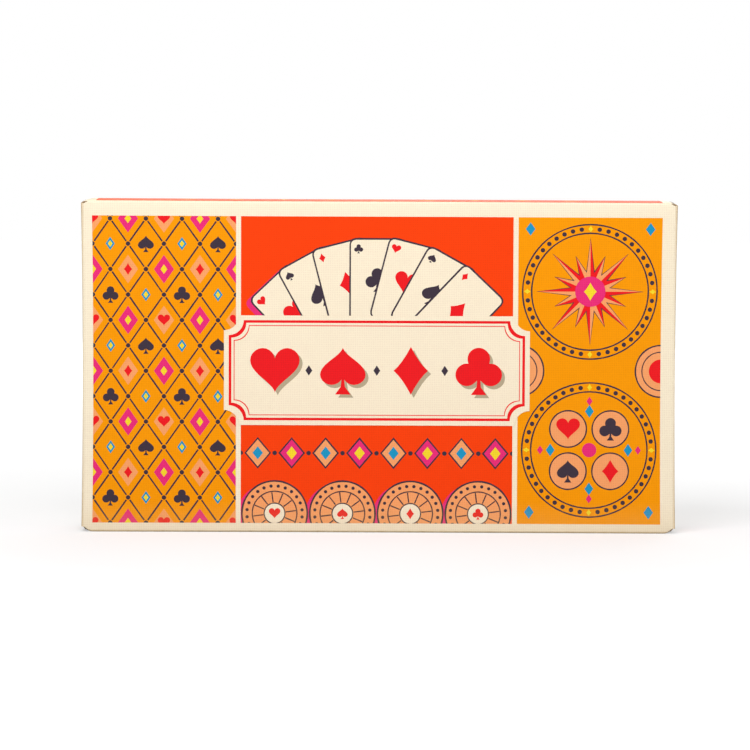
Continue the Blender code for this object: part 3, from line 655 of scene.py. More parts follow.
def film(name, ink, layers, window=None, carry=on_front, body=ROOT):
    """One ink: each layer is its number above the board and its outlines, cut off at the window."""
    parts = []
    for layer, loops in layers:
        drawing = bpy.data.curves.new(name, "CURVE")
        drawing.dimensions = "2D"
        drawing.fill_mode = "BOTH"
        for loop in loops:
            spline = drawing.splines.new("POLY")
            spline.points.add(len(loop) - 1)
            spline.use_cyclic_u = True
            for point, (x, z) in zip(spline.points, loop):
                point.co = (x, z, 0, 1)
        part = bpy.data.objects.new(name, drawing)
        bpy.context.scene.collection.objects.link(part)
        pick([part])
        bpy.ops.object.convert(target="MESH")
        bpy.ops.object.mode_set(mode="EDIT")
        for place, line in enumerate(window or ()):
            cut(place % 2, line, "below" if place < 2 else "above")
        for axis in (0, 1):
            values = [point[axis] for loop in loops for point in loop]
            if window:
                values = [min(max(value, window[axis]), window[axis + 2]) for value in values]
            first = math.floor(min(values) / FILM_CELL) + 1
            for step in range(first, math.ceil(max(values) / FILM_CELL)):
                cut(axis, step * FILM_CELL)
        bpy.ops.object.mode_set(mode="OBJECT")
        part = bpy.context.object
        for vert in part.data.vertices:
            vert.co = carry(vert.co.x, vert.co.y, layer * INK_STEP)
        parts.append(part)
    pick(parts)
    if len(parts) > 1:
        bpy.ops.object.join()
    parts[0].name = name
    parts[0].data.materials.clear()
    parts[0].data.materials.append(inks[ink])
    keep_rest_place(parts[0])
    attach(parts[0], body)


def pip(kind):
    """Outline of a card suit, about one unit high and centred on the origin."""
    if kind == "diamond":
        quarter = [(0.36 * (1 - s), 0.5 * s**1.12) for s in (0, 0.25, 0.5, 0.75)]
        quarter = [(x, z - 0.03 * math.sin(math.pi * z / 0.5)) for x, z in quarter]
        top = quarter + [(0, 0.5)] + [(-x, z) for x, z in quarter[::-1]]
        return top + [(x, -z) for x, z in top[::-1] if 0 < abs(x) < 0.35 or x == 0]
    heart = []
    for step in range(48):
        t = 2 * math.pi * step / 48
        z = 13 * math.cos(t) - 5 * math.cos(2 * t) - 2 * math.cos(3 * t) - math.cos(4 * t)
        heart.append((math.sin(t) ** 3 * 16 / 31, (z + 2.5) / 31))
    if kind == "heart":
        return heart
    if kind == "spade":
        leaf = [(x * 0.92, -z * 0.84 + 0.09) for x, z in heart[3:-2]]
        foot = [(0.03, -0.22), (0.045, -0.34), (0.16, -0.5), (-0.16, -0.5), (-0.045, -0.34), (-0.03, -0.22)]
        return leaf[::-1] + foot
    leaves = [(0.0, 0.25, 0.235), (0.25, -0.08, 0.235), (-0.25, -0.08, 0.235), (0.0, 0.03, 0.15)]
    club = []
    for step in range(72):
        way = Vector(around(0, 0, 1, 2 * math.pi * step / 72 - QUARTER_TURN))
        reach = 0.0
        for x, z, radius in leaves:
            along = way.x * x + way.y * z
            rest = along * along - x * x - z * z + radius * radius
            if rest >= 0:
                reach = max(reach, along + math.sqrt(rest))
        club.append((way.x * reach, way.y * reach))
    foot = [(0.035, -0.2), (0.045, -0.34), (0.16, -0.5), (-0.16, -0.5), (-0.045, -0.34), (-0.035, -0.2)]
    return [point for point in club if abs(point[0]) > 0.06 or point[1] > 0] + foot[::-1]


SUITS = ("heart", "spade", "diamond", "club")
for name, hex_code in (
    ("orange", "#ff9a00"),
    ("red", "#ee1c22"),
    ("magenta", "#ea2f78"),
    ("tan", "#fba368"),
    ("charcoal", "#3f3440"),
    ("yellow", "#f7d92f"),
    ("blue", "#1f96c4"),
):
    inks[name] = printed(f"{name}_ink", hex_code)

step_x, step_z = LATTICE_STEP
art = defaultdict(list)
for row in LATTICE_ROWS:
    for column in LATTICE_COLUMNS:
        x = LEFT_PANEL[0] + (column + 0.5 * (row % 2)) * step_x
        z = LEFT_PANEL[1] + row * step_z / 2
        right, top, left, _ = lozenge(x, z, step_x / 2, step_z / 2)
        for start, end in ((right, top), (top, left)):
            run_x, run_z = end[0] - start[0], end[1] - start[1]
            points = [(start[0] + run_x * share, start[1] + run_z * share) for share in LINE_SHARES]
            art["lines"] += stroke(points, LATTICE_LINE, closed=False)
        art["dots"].append(disc(*right, DOT))
        inner = lozenge(x, z, step_x / 2 * INSET_SHARE, step_z / 2 * INSET_SHARE)
        kind = (row + 2 * column) % 4
        if kind == 0:
            art["tan"].append(inner)
            art["red"].append(placed(pip("heart" if row % 4 < 2 else "diamond"), x, z, RED_PIP))
        elif kind == 1:
            art["dots"].append(placed(pip("club" if row % 4 < 2 else "spade"), x, z, DARK_PIP))
        elif kind == 2:
            art["magenta"].append(inner)
            art["yellow"].append(lozenge(x, z, *MAGENTA_MIDDLE))
        else:
            art["blue"].append(lozenge(x, z, *BLUE_SIZE))
            art["yellow"].append(lozenge(x, z, *BLUE_MIDDLE))
film("left_panel_orange", "orange", [(1, [rectangle(*LEFT_PANEL)])])
for ink, layer in (("tan", 2), ("magenta", 2), ("blue", 2), ("red", 3), ("yellow", 3)):
    film(f"left_panel_{ink}", ink, [(layer, art[ink])], LEFT_PANEL)
film("left_panel_lines", "charcoal", [(3, art["lines"]), (4, art["dots"])], LEFT_PANEL)

# Front print, right panel
# The same inks on an orange field. Two medallions, a sixteen-point star and a wheel of card suits, each have
# a ring of small dots, and the panel's edge cuts off a disc at each side.
RIGHT_PANEL = (69.5, 4.6, 141.5, 158.9)
STAR = (105.5, 121.5)
STAR_REACHES = (26.5, 10.0, 19.0, 10.0)
STAR_ROOT = 5.0
STAR_HUB = 7.6
STAR_PIP = 9.0
WHEEL = (105.5, 42.0)
WHEEL_SPOKE = 15.0
WHEEL_DISC = 9.2
WHEEL_PIP = 11.5
WHEEL_HUB = 3.6
WHEEL_LOZENGES = (("blue", 19.5, 2.2, 3.2), ("magenta", 24.6, 1.5, 2.2))
RING_RADIUS = 31.5
RING_LINES = (2.3, -2.2)
RING_DOTS = 44
RING_PIP = 3.6
SIDE_DISC_HEIGHT = 81.7
SIDE_DISC = 13.0
SIDE_RING = 9.6
SIDE_HUB = 6.0
CORNER_INSET = 6.0
CORNER_LOZENGE = (2.4, 3.4)
PEN = 0.75

art = defaultdict(list)
for x, z in (STAR, WHEEL):
    for outward in RING_LINES:
        art["lines"] += stroke(disc(x, z, RING_RADIUS + outward, 64), PEN)
    for place in range(RING_DOTS):
        angle = 2 * math.pi * place / RING_DOTS
        spot = around(x, z, RING_RADIUS, angle)
        if place % 11 == 0:
            art["yellow"].append(placed(pip("diamond"), *spot, RING_PIP, math.degrees(angle) - 90))
        else:
            art["dots"].append(disc(*spot, DOT, 12))
contour = [around(*STAR, STAR_REACHES[place % 4], math.pi * place / 16) for place in range(32)]
for place in range(0, 32, 2):
    roots = [around(*STAR, STAR_ROOT, math.pi * end / 16) for end in (place + 2, place)]
    ray = [contour[place], contour[place + 1], contour[(place + 2) % 32]] + roots
    art["red" if place % 4 else "tan"].append(ray)
art["magenta"].append(disc(*STAR, STAR_HUB, 32))
art["yellow"].append(placed(pip("diamond"), *STAR, STAR_PIP))
for place in range(4):
    spot = around(*WHEEL, WHEEL_SPOKE, QUARTER_TURN * (place + 0.5))
    rim = disc(*spot, WHEEL_DISC, 40)
    art["tan"].append(rim)
    art["lines"] += stroke(rim, 0.7)
    art["red" if place % 2 else "dots"].append(placed(pip(SUITS[place - 1]), *spot, WHEEL_PIP))
    for ink, reach, half_width, half_height in WHEEL_LOZENGES:
        spot = around(*WHEEL, reach, QUARTER_TURN * place)
        art[ink].append(lozenge(*spot, half_width, half_height))
art["magenta"].append(disc(*WHEEL, WHEEL_HUB, 20))
for x in (RIGHT_PANEL[0], RIGHT_PANEL[2]):
    rim = disc(x, SIDE_DISC_HEIGHT, SIDE_DISC, 40)
    art["tan"].append(rim)
    art["lines"] += stroke(rim, PEN)
    art["lines"] += stroke(disc(x, SIDE_DISC_HEIGHT, SIDE_RING, 40), 0.55)
    art["red"].append(disc(x, SIDE_DISC_HEIGHT, SIDE_HUB, 30))
for x in (RIGHT_PANEL[0] + CORNER_INSET, RIGHT_PANEL[2] - CORNER_INSET):
    for z in (RIGHT_PANEL[1] + CORNER_INSET, RIGHT_PANEL[3] - CORNER_INSET):
        art["blue"].append(lozenge(x, z, *CORNER_LOZENGE))
film("right_panel_orange", "orange", [(1, [rectangle(*RIGHT_PANEL)])])
for ink, layer in (("tan", 2), ("red", 3)):
    film(f"right_panel_{ink}", ink, [(layer, art[ink])], RIGHT_PANEL)
lines = [(4, art["lines"]), (4, stroke(contour, 0.6)), (5, art["dots"])]
film("right_panel_lines", "charcoal", lines, RIGHT_PANEL)
for ink, layer in (("magenta", 6), ("yellow", 7), ("blue", 3)):
    film(f"right_panel_{ink}", ink, [(layer, art[ink])], RIGHT_PANEL)

# Front print, middle panels
# Two red-orange panels. The upper one has a spread of playing cards in cream over magenta shadows, each
# printed over the one before. The lower one has a chain of lozenges above four tan rosettes.
UPPER_PANEL = (-69.0, 98.0, 67.0, 158.9)
LOWER_PANEL = (-69.0, 4.6, 67.0, 64.0)
CARD = (27.0, 41.0, 2.8)
CARD_LINE = 0.85
SPREAD_CENTRE = (-1.0, 69.0)
SPREAD_RADIUS = 58.0
SPREAD_STEP = 14.5
SHADOWED = (0, 2, 4, 5, 6)
SHADOW_SHIFT = (-2.6, -1.6)
CARD_PIP = 12.0
INDEX_PIP = 4.6
INDEX_INSET = (4.2, 5.0)
ROSETTES = (-52.0, -18.0, 16.0, 50.0)
ROSETTE_HEIGHT = 9.5
ROSETTE_RADIUS = 16.4
ROSETTE_RINGS = ((ROSETTE_RADIUS, 0.85), (11.2, 0.6), (5.2, 0.6))
ROSETTE_PETALS = 24
PETAL_REACHES = (5.7, 8.0, 10.8)
PETAL_DOT = (13.9, 0.85)
ROSETTE_HUB = 5.0
ROSETTE_PIP = 5.6
CHAIN_HEIGHT = 40.0
CHAIN_STEP = 8.5
CHAIN_LINK = (6.2, 7.4)
CHAIN_MIDDLE = (2.6, 3.3)


def card_outline(width, height, corner):
    """A rectangle with rounded corners, centred on the origin."""
    out = []
    for turn_x, turn_z, start in ((1, 1, 0), (-1, 1, 90), (-1, -1, 180), (1, -1, 270)):
        centre = (turn_x * (width / 2 - corner), turn_z * (height / 2 - corner))
        out += [around(*centre, corner, math.radians(start + 30 * step)) for step in range(4)]
    return out


inks["card_cream"] = printed("card_cream_ink", "#ffebd0")
film("upper_panel_red_orange", "red_orange", [(1, [rectangle(*UPPER_PANEL)])])
art = defaultdict(list)
for number in range(7):
    angle = (3 - number) * SPREAD_STEP
    x, z = around(*SPREAD_CENTRE, SPREAD_RADIUS, QUARTER_TURN + math.radians(angle))
    outline = placed(card_outline(*CARD), x, z, 1, angle)
    layer = 3 + 2 * number
    if number in SHADOWED:
        shadow = placed(card_outline(*CARD), x + SHADOW_SHIFT[0], z + SHADOW_SHIFT[1], 1, angle)
        art["shadow"].append((2, [shadow]))
    art["cards"].append((layer, [outline]))
    kind = SUITS[number % 4]
    corner = (INDEX_INSET[0] - CARD[0] / 2, CARD[1] / 2 - INDEX_INSET[1])
    spot = placed([corner], x, z, 1, angle)[0]
    suits = [placed(pip(kind), x, z, CARD_PIP, angle), placed(pip(kind), *spot, INDEX_PIP, angle)]
    if kind in ("heart", "diamond"):
        art["pips"].append((layer + 1, suits))
        suits = []
    art["lines"].append((layer + 1, stroke(outline, CARD_LINE) + suits))
film("fan_shadow", "magenta", art["shadow"], UPPER_PANEL)
film("fan_cards", "card_cream", art["cards"], UPPER_PANEL)
film("fan_lines", "charcoal", art["lines"], UPPER_PANEL)
film("fan_pips", "red", art["pips"], UPPER_PANEL)

film("lower_panel_red_orange", "red_orange", [(1, [rectangle(*LOWER_PANEL)])])
art = defaultdict(list)
for kind, x in zip(SUITS, ROSETTES):
    z = ROSETTE_HEIGHT
    art["magenta"].append(disc(x - 2.2, z - 1.6, ROSETTE_RADIUS + 0.4, 48))
    art["tan"].append(disc(x, z, ROSETTE_RADIUS, 48))
    for radius, pen in ROSETTE_RINGS:
        art["lines"] += stroke(disc(x, z, radius, 48), pen)
    for place in range(ROSETTE_PETALS):
        angle = 2 * math.pi * (place + 0.5) / ROSETTE_PETALS
        if place % 2 == 0:
            points = [around(x, z, reach, angle) for reach in PETAL_REACHES]
            art["lines"] += stroke(points, 0.6, closed=False)
        reach, radius = PETAL_DOT
        art["dots"].append(disc(*around(x, z, reach, angle), radius, 10))
    art["cream"].append(disc(x, z, ROSETTE_HUB, 30))
    art["red"].append(placed(pip(kind), x, z, ROSETTE_PIP))
for place in range(17):
    x = LOWER_PANEL[0] + CHAIN_STEP * place
    if place % 2 == 0:
        art["dots"].append(disc(x, CHAIN_HEIGHT, DOT, 12))
        continue
    outer, inner = ("tan", "blue") if place % 4 == 1 else ("magenta", "yellow")
    link = lozenge(x, CHAIN_HEIGHT, *CHAIN_LINK)
    art[outer].append(link)
    art["lines"] += stroke(link, PEN)
    art[inner].append(lozenge(x, CHAIN_HEIGHT, *CHAIN_MIDDLE))
for ink, layer in (("magenta", 2), ("tan", 3)):
    film(f"fans_{ink}", ink, [(layer, art[ink])], LOWER_PANEL)
film("fans_lines", "charcoal", [(4, art["lines"]), (5, art["dots"])], LOWER_PANEL)
film("fans_cream", "card_cream", [(4, art["cream"])], LOWER_PANEL)
for ink in ("red", "yellow", "blue"):
    film(f"fans_{ink}", ink, [(5, art[ink])], LOWER_PANEL)

# Front print, middle plaque
# A cream plaque with hollowed corners and red rules covers the middle of the front, as on many game cartons.
# It is printed last and carries the four card suits in red, each with a taupe shadow.
PLAQUE = (-77.5, 54.0, 75.5, 109.0)
PLAQUE_HEIGHT = (PLAQUE[1] + PLAQUE[3]) / 2
NOTCH = 7.5
RULE_INSETS = (2.4, 3.7, 4.9, 5.3)
PLAQUE_LAYER = 19
SUIT_SIZE = 24.0
SUIT_SHADOW = (1.5, -1.6)
BETWEEN_SUITS = (1.7, 2.6)


def ticket(inset):
    """The plaque's outline, drawn in by an inset, with its corners hollowed out by quarter circles."""
    low_x, low_z, high_x, high_z = PLAQUE
    out = []
    for x, z, start in (
        (low_x + inset, low_z + inset, 90),
        (high_x - inset, low_z + inset, 180),
        (high_x - inset, high_z - inset, 270),
        (low_x + inset, high_z - inset, 0),
    ):
        out += [around(x, z, NOTCH, math.radians(start - 90 * step / 8)) for step in range(9)]
    return out


inks["taupe"] = printed("taupe_ink", "#b8a98c")
film("plaque_cream", "card_cream", [(PLAQUE_LAYER, [ticket(0)])])
film("plaque_rules", "red", [(PLAQUE_LAYER + 1, [ticket(inset) for inset in RULE_INSETS])])
fronts = [placed(pip(kind), x, PLAQUE_HEIGHT, SUIT_SIZE) for kind, x in zip(SUITS, ROSETTES)]
shadows = [placed(front, *SUIT_SHADOW) for front in fronts]
halves = [(first + second) / 2 for first, second in zip(ROSETTES, ROSETTES[1:])]
film("plaque_shadows", "taupe", [(PLAQUE_LAYER + 1, shadows)])
film("plaque_suits", "red", [(PLAQUE_LAYER + 2, fronts)])
dots = [lozenge(x, PLAQUE_HEIGHT, *BETWEEN_SUITS) for x in halves]
film("plaque_dots", "charcoal", [(PLAQUE_LAYER + 1, dots)])

# Back print
# The back is bare cream board with two double rules in red round its edge, a row of the four suits and some
# orange lozenges, all in the same thin inks.
BACK_FRAME = (-139.0, 7.5, 139.0, 159.0)
BACK_INSETS = (0.0, 1.3, 3.2, 3.6)
BACK_MIDDLE = 83.0
BACK_SUITS = (-48.0, -16.0, 16.0, 48.0)
BACK_SUIT_SIZE = 20.0
BIG_LOZENGE = (9.0, 12.0)
SMALL_LOZENGE = (6.0, 8.0)

low_x, low_z, high_x, high_z = BACK_FRAME
rules = [
    rectangle(low_x + inset, low_z + inset, high_x - inset, high_z - inset) for inset in BACK_INSETS
]
suits = [placed(pip(kind), x, BACK_MIDDLE, BACK_SUIT_SIZE) for kind, x in zip(SUITS, BACK_SUITS)]
lozenges = [lozenge(x, z, *BIG_LOZENGE) for x in (-120.0, 120.0) for z in (26.5, 140.0)]
lozenges += [lozenge(x, BACK_MIDDLE, *SMALL_LOZENGE) for x in (-96.0, -72.0, 72.0, 96.0)]
on_back = carrier((-1, 0, 0), (0, 0, 1), (0, BACK_FACE, 0))
film("back_red", "red", [(1, rules), (1, suits)], carry=on_back)
film("back_orange", "orange", [(1, lozenges)], carry=on_back)

# Top print
# The red long side that faces up carries a row of orange suits between small dark lozenges. They stop well
# short of its ends, where a hand grips the carton.
TOP_STEP = 12.0
TOP_PLACES = 8
TOP_SUIT_SIZE = 9.0
TOP_LOZENGE = (1.9, 2.6)

suits, lozenges = [], []
for place in range(-TOP_PLACES, TOP_PLACES + 1):
    if place % 2 == 0:
        suits.append(placed(pip(SUITS[place // 2 % 4]), place * TOP_STEP, 0.0, TOP_SUIT_SIZE))
    else:
        lozenges.append(lozenge(place * TOP_STEP, 0.0, *TOP_LOZENGE))
on_top = carrier((1, 0, 0), (0, 1, 0), (0, 0, HEIGHT))
film("top_suits", "orange", [(1, suits)], carry=on_top)
film("top_lozenges", "charcoal", [(1, lozenges)], carry=on_top)

# Closure print
# Each closure panel has three suits on its red field, in the colour of the board's own cream. They are read
# from outside and swing with the closure.
CLOSURE_MIDDLE = -1.9 * MM
CLOSURE_SUITS = (("club", 128.0), ("heart", 83.25), ("spade", 38.5))
CLOSURE_SUIT_SIZE = 13.0

for end, side in ENDS:
    on_closure = carrier((0, side, 0), (0, 0, 1), (side * END_FACE, CLOSURE_MIDDLE, 0))
    suits = [placed(pip(kind), 0.0, z, CLOSURE_SUIT_SIZE) for kind, z in CLOSURE_SUITS]
    film(f"{end}_closure_suits", "card_cream", [(1, suits)], carry=on_closure, body=f"{end}_closure")

# Tray
# The tray that holds the set is unprinted greyboard, 1.2 mm thick, folded and glued. Its recycled pulp is
# quite matt and shows as flecks and short fibres in a cloudy grey-brown.
PULP_SIZE = 1.1 * MM
CLOUD_SIZE = 14 * MM


def dress(node, material):
    """Gives a piece of the solid model its finish."""
    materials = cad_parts[node].data.materials
    materials.clear()
    materials.append(material)


grey_pulp, shader, add = new_material("grey_pulp_board", 0.92, 0.2)
place = add("TexCoord")["Object"]
noise = {"Scale": 1 / PULP_SIZE, "Detail": 6, "Roughness": 0.7}
fibre = add("TexNoise", noise, {"Vector": place})["Fac"]
cloud = add("TexNoise", {"Scale": 1 / CLOUD_SIZE, "Detail": 3}, {"Vector": place})["Fac"]
both = add("Math", {"operation": "MULTIPLY_ADD", 1: 0.35}, {0: cloud, 2: fibre})[0]
stops = {"stops": ((0.45, "#6d6357"), (0.78, "#a79a88"))}
pulp = add("ValToRGB", stops, {"Fac": both})["Color"]
bump = add("Bump", {"Strength": 0.5, "Distance": 0.06 * MM}, {"Height": fibre})["Normal"]
connect(shader, {"Base Color": pulp, "Normal": bump})
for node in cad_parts:
    if node.startswith("tray_"):
        dress(node, grey_pulp)

# Board planks
# Two planks of steamed beech are glued face to face, drilled with three lanes of blind peg holes and oiled.
# The grain runs along the board, and the lanes and each group of five holes are bounded by burnt lines.
GRAIN_WIDTH = 2.6 * MM
GRAIN_STRETCH = 0.06
FLECK_SIZE = 0.66 * MM
FLECK_STRETCH = 0.22
INK_CLEARANCE = 0.02 * MM
LANE_GAP = 5.0
LANE_EDGES = (-1.5, -0.5, 0.5, 1.5)
BIG_TURN = 34.0
SMALL_TURN = 17.0
PASS_START = -84.5
PASS_END = 97.5
GROUP_STEP = 26.0
GROUP_LINES = 8
BURN_LINE = 0.4
BURN_WOBBLE = 0.05


def beech(name, light, dark, shift):
    """Oiled beech: a satin sheen, long pale figure with fine streaks, and the wood's short dark flecks."""
    material, shader, add = new_material(name, 0.42, 0.45)
    place = add("TexCoord")["Object"]
    stretch = {"Location": (0, shift, shift), "Scale": (GRAIN_STRETCH, 1, 1)}
    along = add("Mapping", stretch, {"Vector": place})["Vector"]
    noise = {"Scale": 1 / (4 * GRAIN_WIDTH), "Detail": 5, "Roughness": 0.6, "Distortion": 0.6}
    figure = add("TexNoise", noise, {"Vector": along})["Fac"]
    noise = {"Scale": 4 / GRAIN_WIDTH, "Detail": 3, "Roughness": 0.6}
    streak = add("TexNoise", noise, {"Vector": along})["Fac"]
    mixed = add("Math", {"operation": "MULTIPLY_ADD", 1: 0.45}, {0: streak, 2: figure})[0]
    grain = add("ValToRGB", {"stops": ((0.5, dark), (0.86, light))}, {"Fac": mixed})["Color"]
    short = add("Mapping", {"Scale": (FLECK_STRETCH, 1, 1)}, {"Vector": place})["Vector"]
    cells = add("TexVoronoi", {"Scale": 1 / FLECK_SIZE}, {"Vector": short})["Distance"]
    limits = {"From Min": 0.12, "From Max": 0.03, "To Max": 0.55}
    flecks = add("MapRange", limits, {"Value": cells})["Result"]
    shades = {"data_type": "RGBA", MIX_TO: colour("#7a4a28")}
    flecked = add("Mix", shades, {"Factor": flecks, MIX_FROM: grain})[MIXED]
    pores = {"Strength": 0.25, "Distance": 0.05 * MM}
    bump = add("Bump", pores, {"Height": mixed})["Normal"]
    connect(shader, {"Base Color": flecked, "Normal": bump})
    return material


def on_face(node):
    """Carries points of a flat drawing to the face of a piece of the set that lies to the front."""
    low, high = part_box(node)
    origin = ((low.x + high.x) / 2, low.y - INK_CLEARANCE, (low.z + high.z) / 2)
    return carrier((1, 0, 0), (0, 0, 1), origin, bend=Vector)


def arc(x, z, radius, start, end, count):
    """Points on an arc between two angles in degrees."""
    angles = [math.radians(start + (end - start) * step / count) for step in range(count + 1)]
    return [around(x, z, radius, angle) for angle in angles]


dress("drilled_plank", beech("drilled_plank_beech", "#e0ab74", "#bd8049", 0.0))
dress("base_plank", beech("base_plank_beech", "#d9a26b", "#b37742", 0.37))
burns = []
for edge in LANE_EDGES:
    far = BIG_TURN + edge * LANE_GAP
    near = SMALL_TURN + edge * LANE_GAP
    outward = [(PASS_START, far)] + arc(PASS_END, 0, far, 90, -90, 36)
    inward = arc(PASS_START, -SMALL_TURN, near, 270, 90, 24) + [(PASS_END, near - SMALL_TURN)]
    burns += stroke(outward + inward, BURN_LINE, closed=False, wobble=BURN_WOBBLE)
ticks = []
for group in range(GROUP_LINES):
    x = PASS_START + group * GROUP_STEP
    for middle in (BIG_TURN, -BIG_TURN, 0.0):
        points = [(x, middle + edge * LANE_GAP) for edge in (LANE_EDGES[0], 0, LANE_EDGES[-1])]
        ticks += stroke(points, BURN_LINE, closed=False, wobble=BURN_WOBBLE)
inks["burn"] = uncoated("burnt_line", "#5a3620", "#3d2414")
film("board_burnt_lines", "burn", [(1, burns), (2, ticks)], carry=on_face("drilled_plank"))

# Pegs and cover
# The six pegs are turned from brass rod. The cover of their compartment is a plain brass sheet that slides
# in grooves in the base plank.
BRASS_MARKS = 0.35 * MM
TARNISH_SIZE = 7 * MM


def brass(name, stretch):
    """Brass handled for a while: a warm, slightly dull gloss with the fine marks of turning or rolling."""
    material, shader, add = new_material(name, 0.3)
    shader.inputs["Metallic"].default_value = 1.0
    place = add("TexCoord")["Object"]
    stretched = add("Mapping", {"Scale": stretch}, {"Vector": place})["Vector"]
    noise = {"Scale": 1 / BRASS_MARKS, "Detail": 3}
    marks = add("TexNoise", noise, {"Vector": stretched})["Fac"]
    noise = {"Scale": 1 / TARNISH_SIZE, "Detail": 4}
    dull = add("TexNoise", noise, {"Vector": place})["Fac"]
    tarnish = add("Math", {"operation": "MULTIPLY_ADD", 1: 0.5}, {0: marks, 2: dull})[0]
    stops = {"stops": ((0.5, "#c79f55"), (1.0, "#dab66b"))}
    metal = add("ValToRGB", stops, {"Fac": tarnish})["Color"]
    rough = add("MapRange", {"To Min": 0.28, "To Max": 0.4}, {"Value": dull})["Result"]
    bump = add("Bump", {"Strength": 0.2, "Distance": 0.02 * MM}, {"Height": marks})["Normal"]
    connect(shader, {"Base Color": metal, "Roughness": rough, "Normal": bump})
    return material


turned_brass = brass("turned_brass", (40, 1, 1))
dress("peg_cover", brass("rolled_brass", (0.05, 1, 1)))
for number in range(1, 7):
    dress(f"peg_{number}", turned_brass)

# Card deck
# One wrapped deck of poker-size cards lies on its side in the tray. The edges of its cards show as fine
# lines, and the back of the upper card is printed with a lattice of red lozenges inside two rules.
CARD_CALIPER = 0.3 * MM
PAPER_FIBRE = 0.9 * MM
DECK_RULES = (((82.0, 56.5, 3.0), 0.8), ((78.0, 52.5, 2.0), 0.4))
DECK_STEP = (8.6, 10.0)
DECK_LOZENGE = (3.7, 4.4)
DECK_SPOT = (1.0, 1.2)


def paper(name, hex_code, shade, lines):
    """Coated paper or card: smooth and matt, with faint fibres, and darker lines where its layers end."""
    material, shader, add = new_material(name, 0.6, 0.3)
    place = add("TexCoord")["Object"]
    noise = {"Scale": 1 / PAPER_FIBRE, "Detail": 4}
    fibre = add("TexNoise", noise, {"Vector": place})["Fac"]
    wave = {"bands_direction": "Y", "Scale": WAVE_BAND / (2 * CARD_CALIPER), "Distortion": 0.6}
    layers = add("TexWave", wave, {"Vector": place})["Fac"]
    normal = add("NewGeometry")["Normal"]
    across = add("SeparateXYZ", {}, {"Vector": normal})["Y"]
    flat = add("Math", {"operation": "ABSOLUTE"}, {0: across})[0]
    limits = {"From Min": 0.9, "From Max": 0.4, "To Max": lines}
    on_edge = add("MapRange", limits, {"Value": flat})["Result"]
    edges = add("Math", {"operation": "MULTIPLY"}, {0: layers, 1: on_edge})[0]
    soft = add("Math", {"operation": "MULTIPLY_ADD", 1: 0.25}, {0: fibre, 2: edges})[0]
    shades = {"data_type": "RGBA", MIX_FROM: colour(hex_code), MIX_TO: colour(shade)}
    tone = add("Mix", shades, {"Factor": soft})[MIXED]
    connect(shader, {"Base Color": tone})
    return material


dress("card_deck", paper("playing_card_stock", "#f6f1e6", "#8f8a80", 0.8))
lozenges = []
rules = [loop for size, pen in DECK_RULES for loop in stroke(card_outline(*size), pen)]
for column in range(-4, 5):
    for row in range(-2, 3):
        x, z = column * DECK_STEP[0], row * DECK_STEP[1]
        if (column + row) % 2 == 0:
            lozenges.append(lozenge(x, z, *DECK_LOZENGE))
        else:
            rules.append(lozenge(x, z, *DECK_SPOT))
on_deck = on_face("card_deck")
film("deck_back_lozenges", "red", [(1, lozenges)], carry=on_deck)
film("deck_back_lines", "charcoal", [(1, rules)], carry=on_deck)

# Rules sheet
# A folded sheet of cream paper stands beside the deck. Its cover is printed with a red frame, a row of suits
# and a small drawing of the board's track with dots for its holes.
SHEET_RULES = (((-70.0, -25.5, 70.0, 25.5), 0.8), ((-68.0, -23.5, 68.0, 23.5), 0.4))
SHEET_SUITS = (-30.0, -10.0, 10.0, 30.0)
SHEET_SUIT_SIZE = 12.0
SHEET_SUIT_HEIGHT = 12.0
TRACK = (-45.0, 40.0, -10.0, 6.0)
TRACK_HOLES = (-6.6, -13.4)

dress("rules_sheet", paper("cream_sheet_paper", "#efe6d0", "#c9bb9a", 0.4))
rules = [loop for box, pen in SHEET_RULES for loop in stroke(rectangle(*box), pen)]
suits = [
    placed(pip(kind), x, SHEET_SUIT_HEIGHT, SHEET_SUIT_SIZE) for kind, x in zip(SUITS, SHEET_SUITS)
]
low_x, high_x, middle, radius = TRACK
points = [(low_x, middle + radius)] + arc(high_x, middle, radius, 90, -90, 16) + [(low_x, middle - radius)]
holes = [disc(4.0 * place - 42.0, z, 0.6, 10) for place in range(21) for z in TRACK_HOLES]
on_sheet = on_face("rules_sheet")
drawing = stroke(points, 0.6, closed=False) + holes
film("sheet_red", "red", [(1, rules + suits)], carry=on_sheet)
film("sheet_navy", "charcoal", [(1, drawing)], carry=on_sheet)

# Studio
# The carton stands on a seamless white sweep in soft level light, from a key, a fill and a rear lamp. A long
# lens sees it square to its front from just above its middle, turned a hair out of level.
FLOOR_SIZE = 6.0
FLOOR_GREY = 0.5
FLOOR_GLOW = (0.45, 0.8)
GLOW_REACH = (0.2, 1.0)
AIR_LIGHT = 0.46
WHITE = (1, 1, 1, 1)
VIEW_DISTANCE = 2.2
VIEW_WIDTH = 0.3752
VIEW_RISE = math.radians(4.5)
VIEW_ROLL = math.radians(0.22)
AIM_SHIFT_X = -1.9 * MM
AIM_SHIFT_Z = -3.9 * MM
SENSOR = 36.0
NEAREST = 0.05


def seen_or_mirrored(add):
    """One where a ray comes from the camera or a reflection, so that metal shows the white sweep too."""
    ray = add("LightPath")
    share = ray["Is Camera Ray"]
    for other in (ray["Is Glossy Ray"], ray["Is Transmission Ray"]):
        share = add("Math", {"operation": "MAXIMUM"}, {0: share, 1: other})[0]
    return share


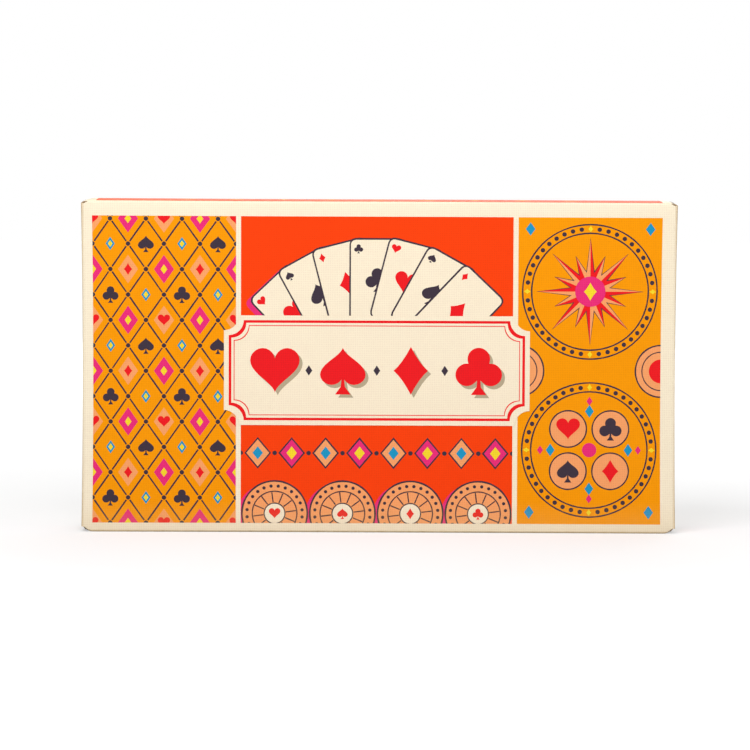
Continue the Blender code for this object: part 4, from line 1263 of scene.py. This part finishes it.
bpy.ops.mesh.primitive_plane_add(size=FLOOR_SIZE, location=(0, 0, 0))
floor = bpy.context.object
floor.name = "floor"
sweep, shader, add = new_material("white_paper_sweep", 0.95, 0.0)
shader.inputs["Base Color"].default_value = (FLOOR_GREY, FLOOR_GREY, FLOOR_GREY, 1)
place = add("TexCoord")["Object"]
away = add("VectorMath", {"operation": "LENGTH"}, {0: place})["Value"]
fade = {
    "From Min": GLOW_REACH[0],
    "From Max": GLOW_REACH[1],
    "To Min": FLOOR_GLOW[0],
    "To Max": FLOOR_GLOW[1],
}
strength = add("MapRange", fade, {"Value": away})["Result"]
glow = add("Emission", {"Color": WHITE}, {"Strength": strength})[0]
lit = add("AddShader", {}, {0: shader.outputs[0], 1: glow})[0]
shown = add("MixShader", {}, {0: seen_or_mirrored(add), 1: shader.outputs[0], 2: lit})[0]
connect(sweep.node_tree.nodes["Material Output"], {"Surface": shown})
floor.data.materials.append(sweep)

world = bpy.data.worlds.new("studio")
bpy.context.scene.world = world
world.use_nodes = True
add = partial(add_node, world)
air = world.node_tree.nodes["Background"]
air.inputs["Color"].default_value = WHITE
air.inputs["Strength"].default_value = AIR_LIGHT
white = add("Background", {"Color": WHITE, "Strength": 1.0})[0]
shown = add("MixShader", {}, {0: seen_or_mirrored(add), 1: air.outputs[0], 2: white})[0]
connect(world.node_tree.nodes["World Output"], {"Surface": shown})

for name, place, size, power in (
    ("key_lamp", (-0.2, -0.55, 0.75), 0.5, 5.2),
    ("fill_lamp", (0.7, -0.9, 0.5), 0.9, 3.2),
    ("rear_lamp", (0.3, 1.1, 0.45), 1.0, 8.0),
):
    light = bpy.data.lights.new(name, "AREA")
    light.shape = "SQUARE"
    light.size = size
    light.energy = power
    lamp = bpy.data.objects.new(name, light)
    lamp.location = place
    lamp.rotation_euler = (Vector((0, 0, HEIGHT / 2)) - lamp.location).to_track_quat("-Z", "Y").to_euler()
    bpy.context.scene.collection.objects.link(lamp)

lens = bpy.data.cameras.new("camera")
lens.sensor_width = SENSOR
lens.lens = SENSOR * VIEW_DISTANCE / VIEW_WIDTH
lens.clip_start = NEAREST
camera = bpy.data.objects.new("camera", lens)
aim = Vector((AIM_SHIFT_X, FRONT_FACE, HEIGHT / 2 + AIM_SHIFT_Z))
back_off = Vector((0, -math.cos(VIEW_RISE), math.sin(VIEW_RISE))) * VIEW_DISTANCE
camera.location = aim + back_off
level = (-back_off).to_track_quat("-Z", "Y")
camera.rotation_euler = (level @ Quaternion((0, 0, 1), VIEW_ROLL)).to_euler()
bpy.context.scene.collection.objects.link(camera)
bpy.context.scene.camera = camera
bpy.context.scene.view_settings.view_transform = "Standard"
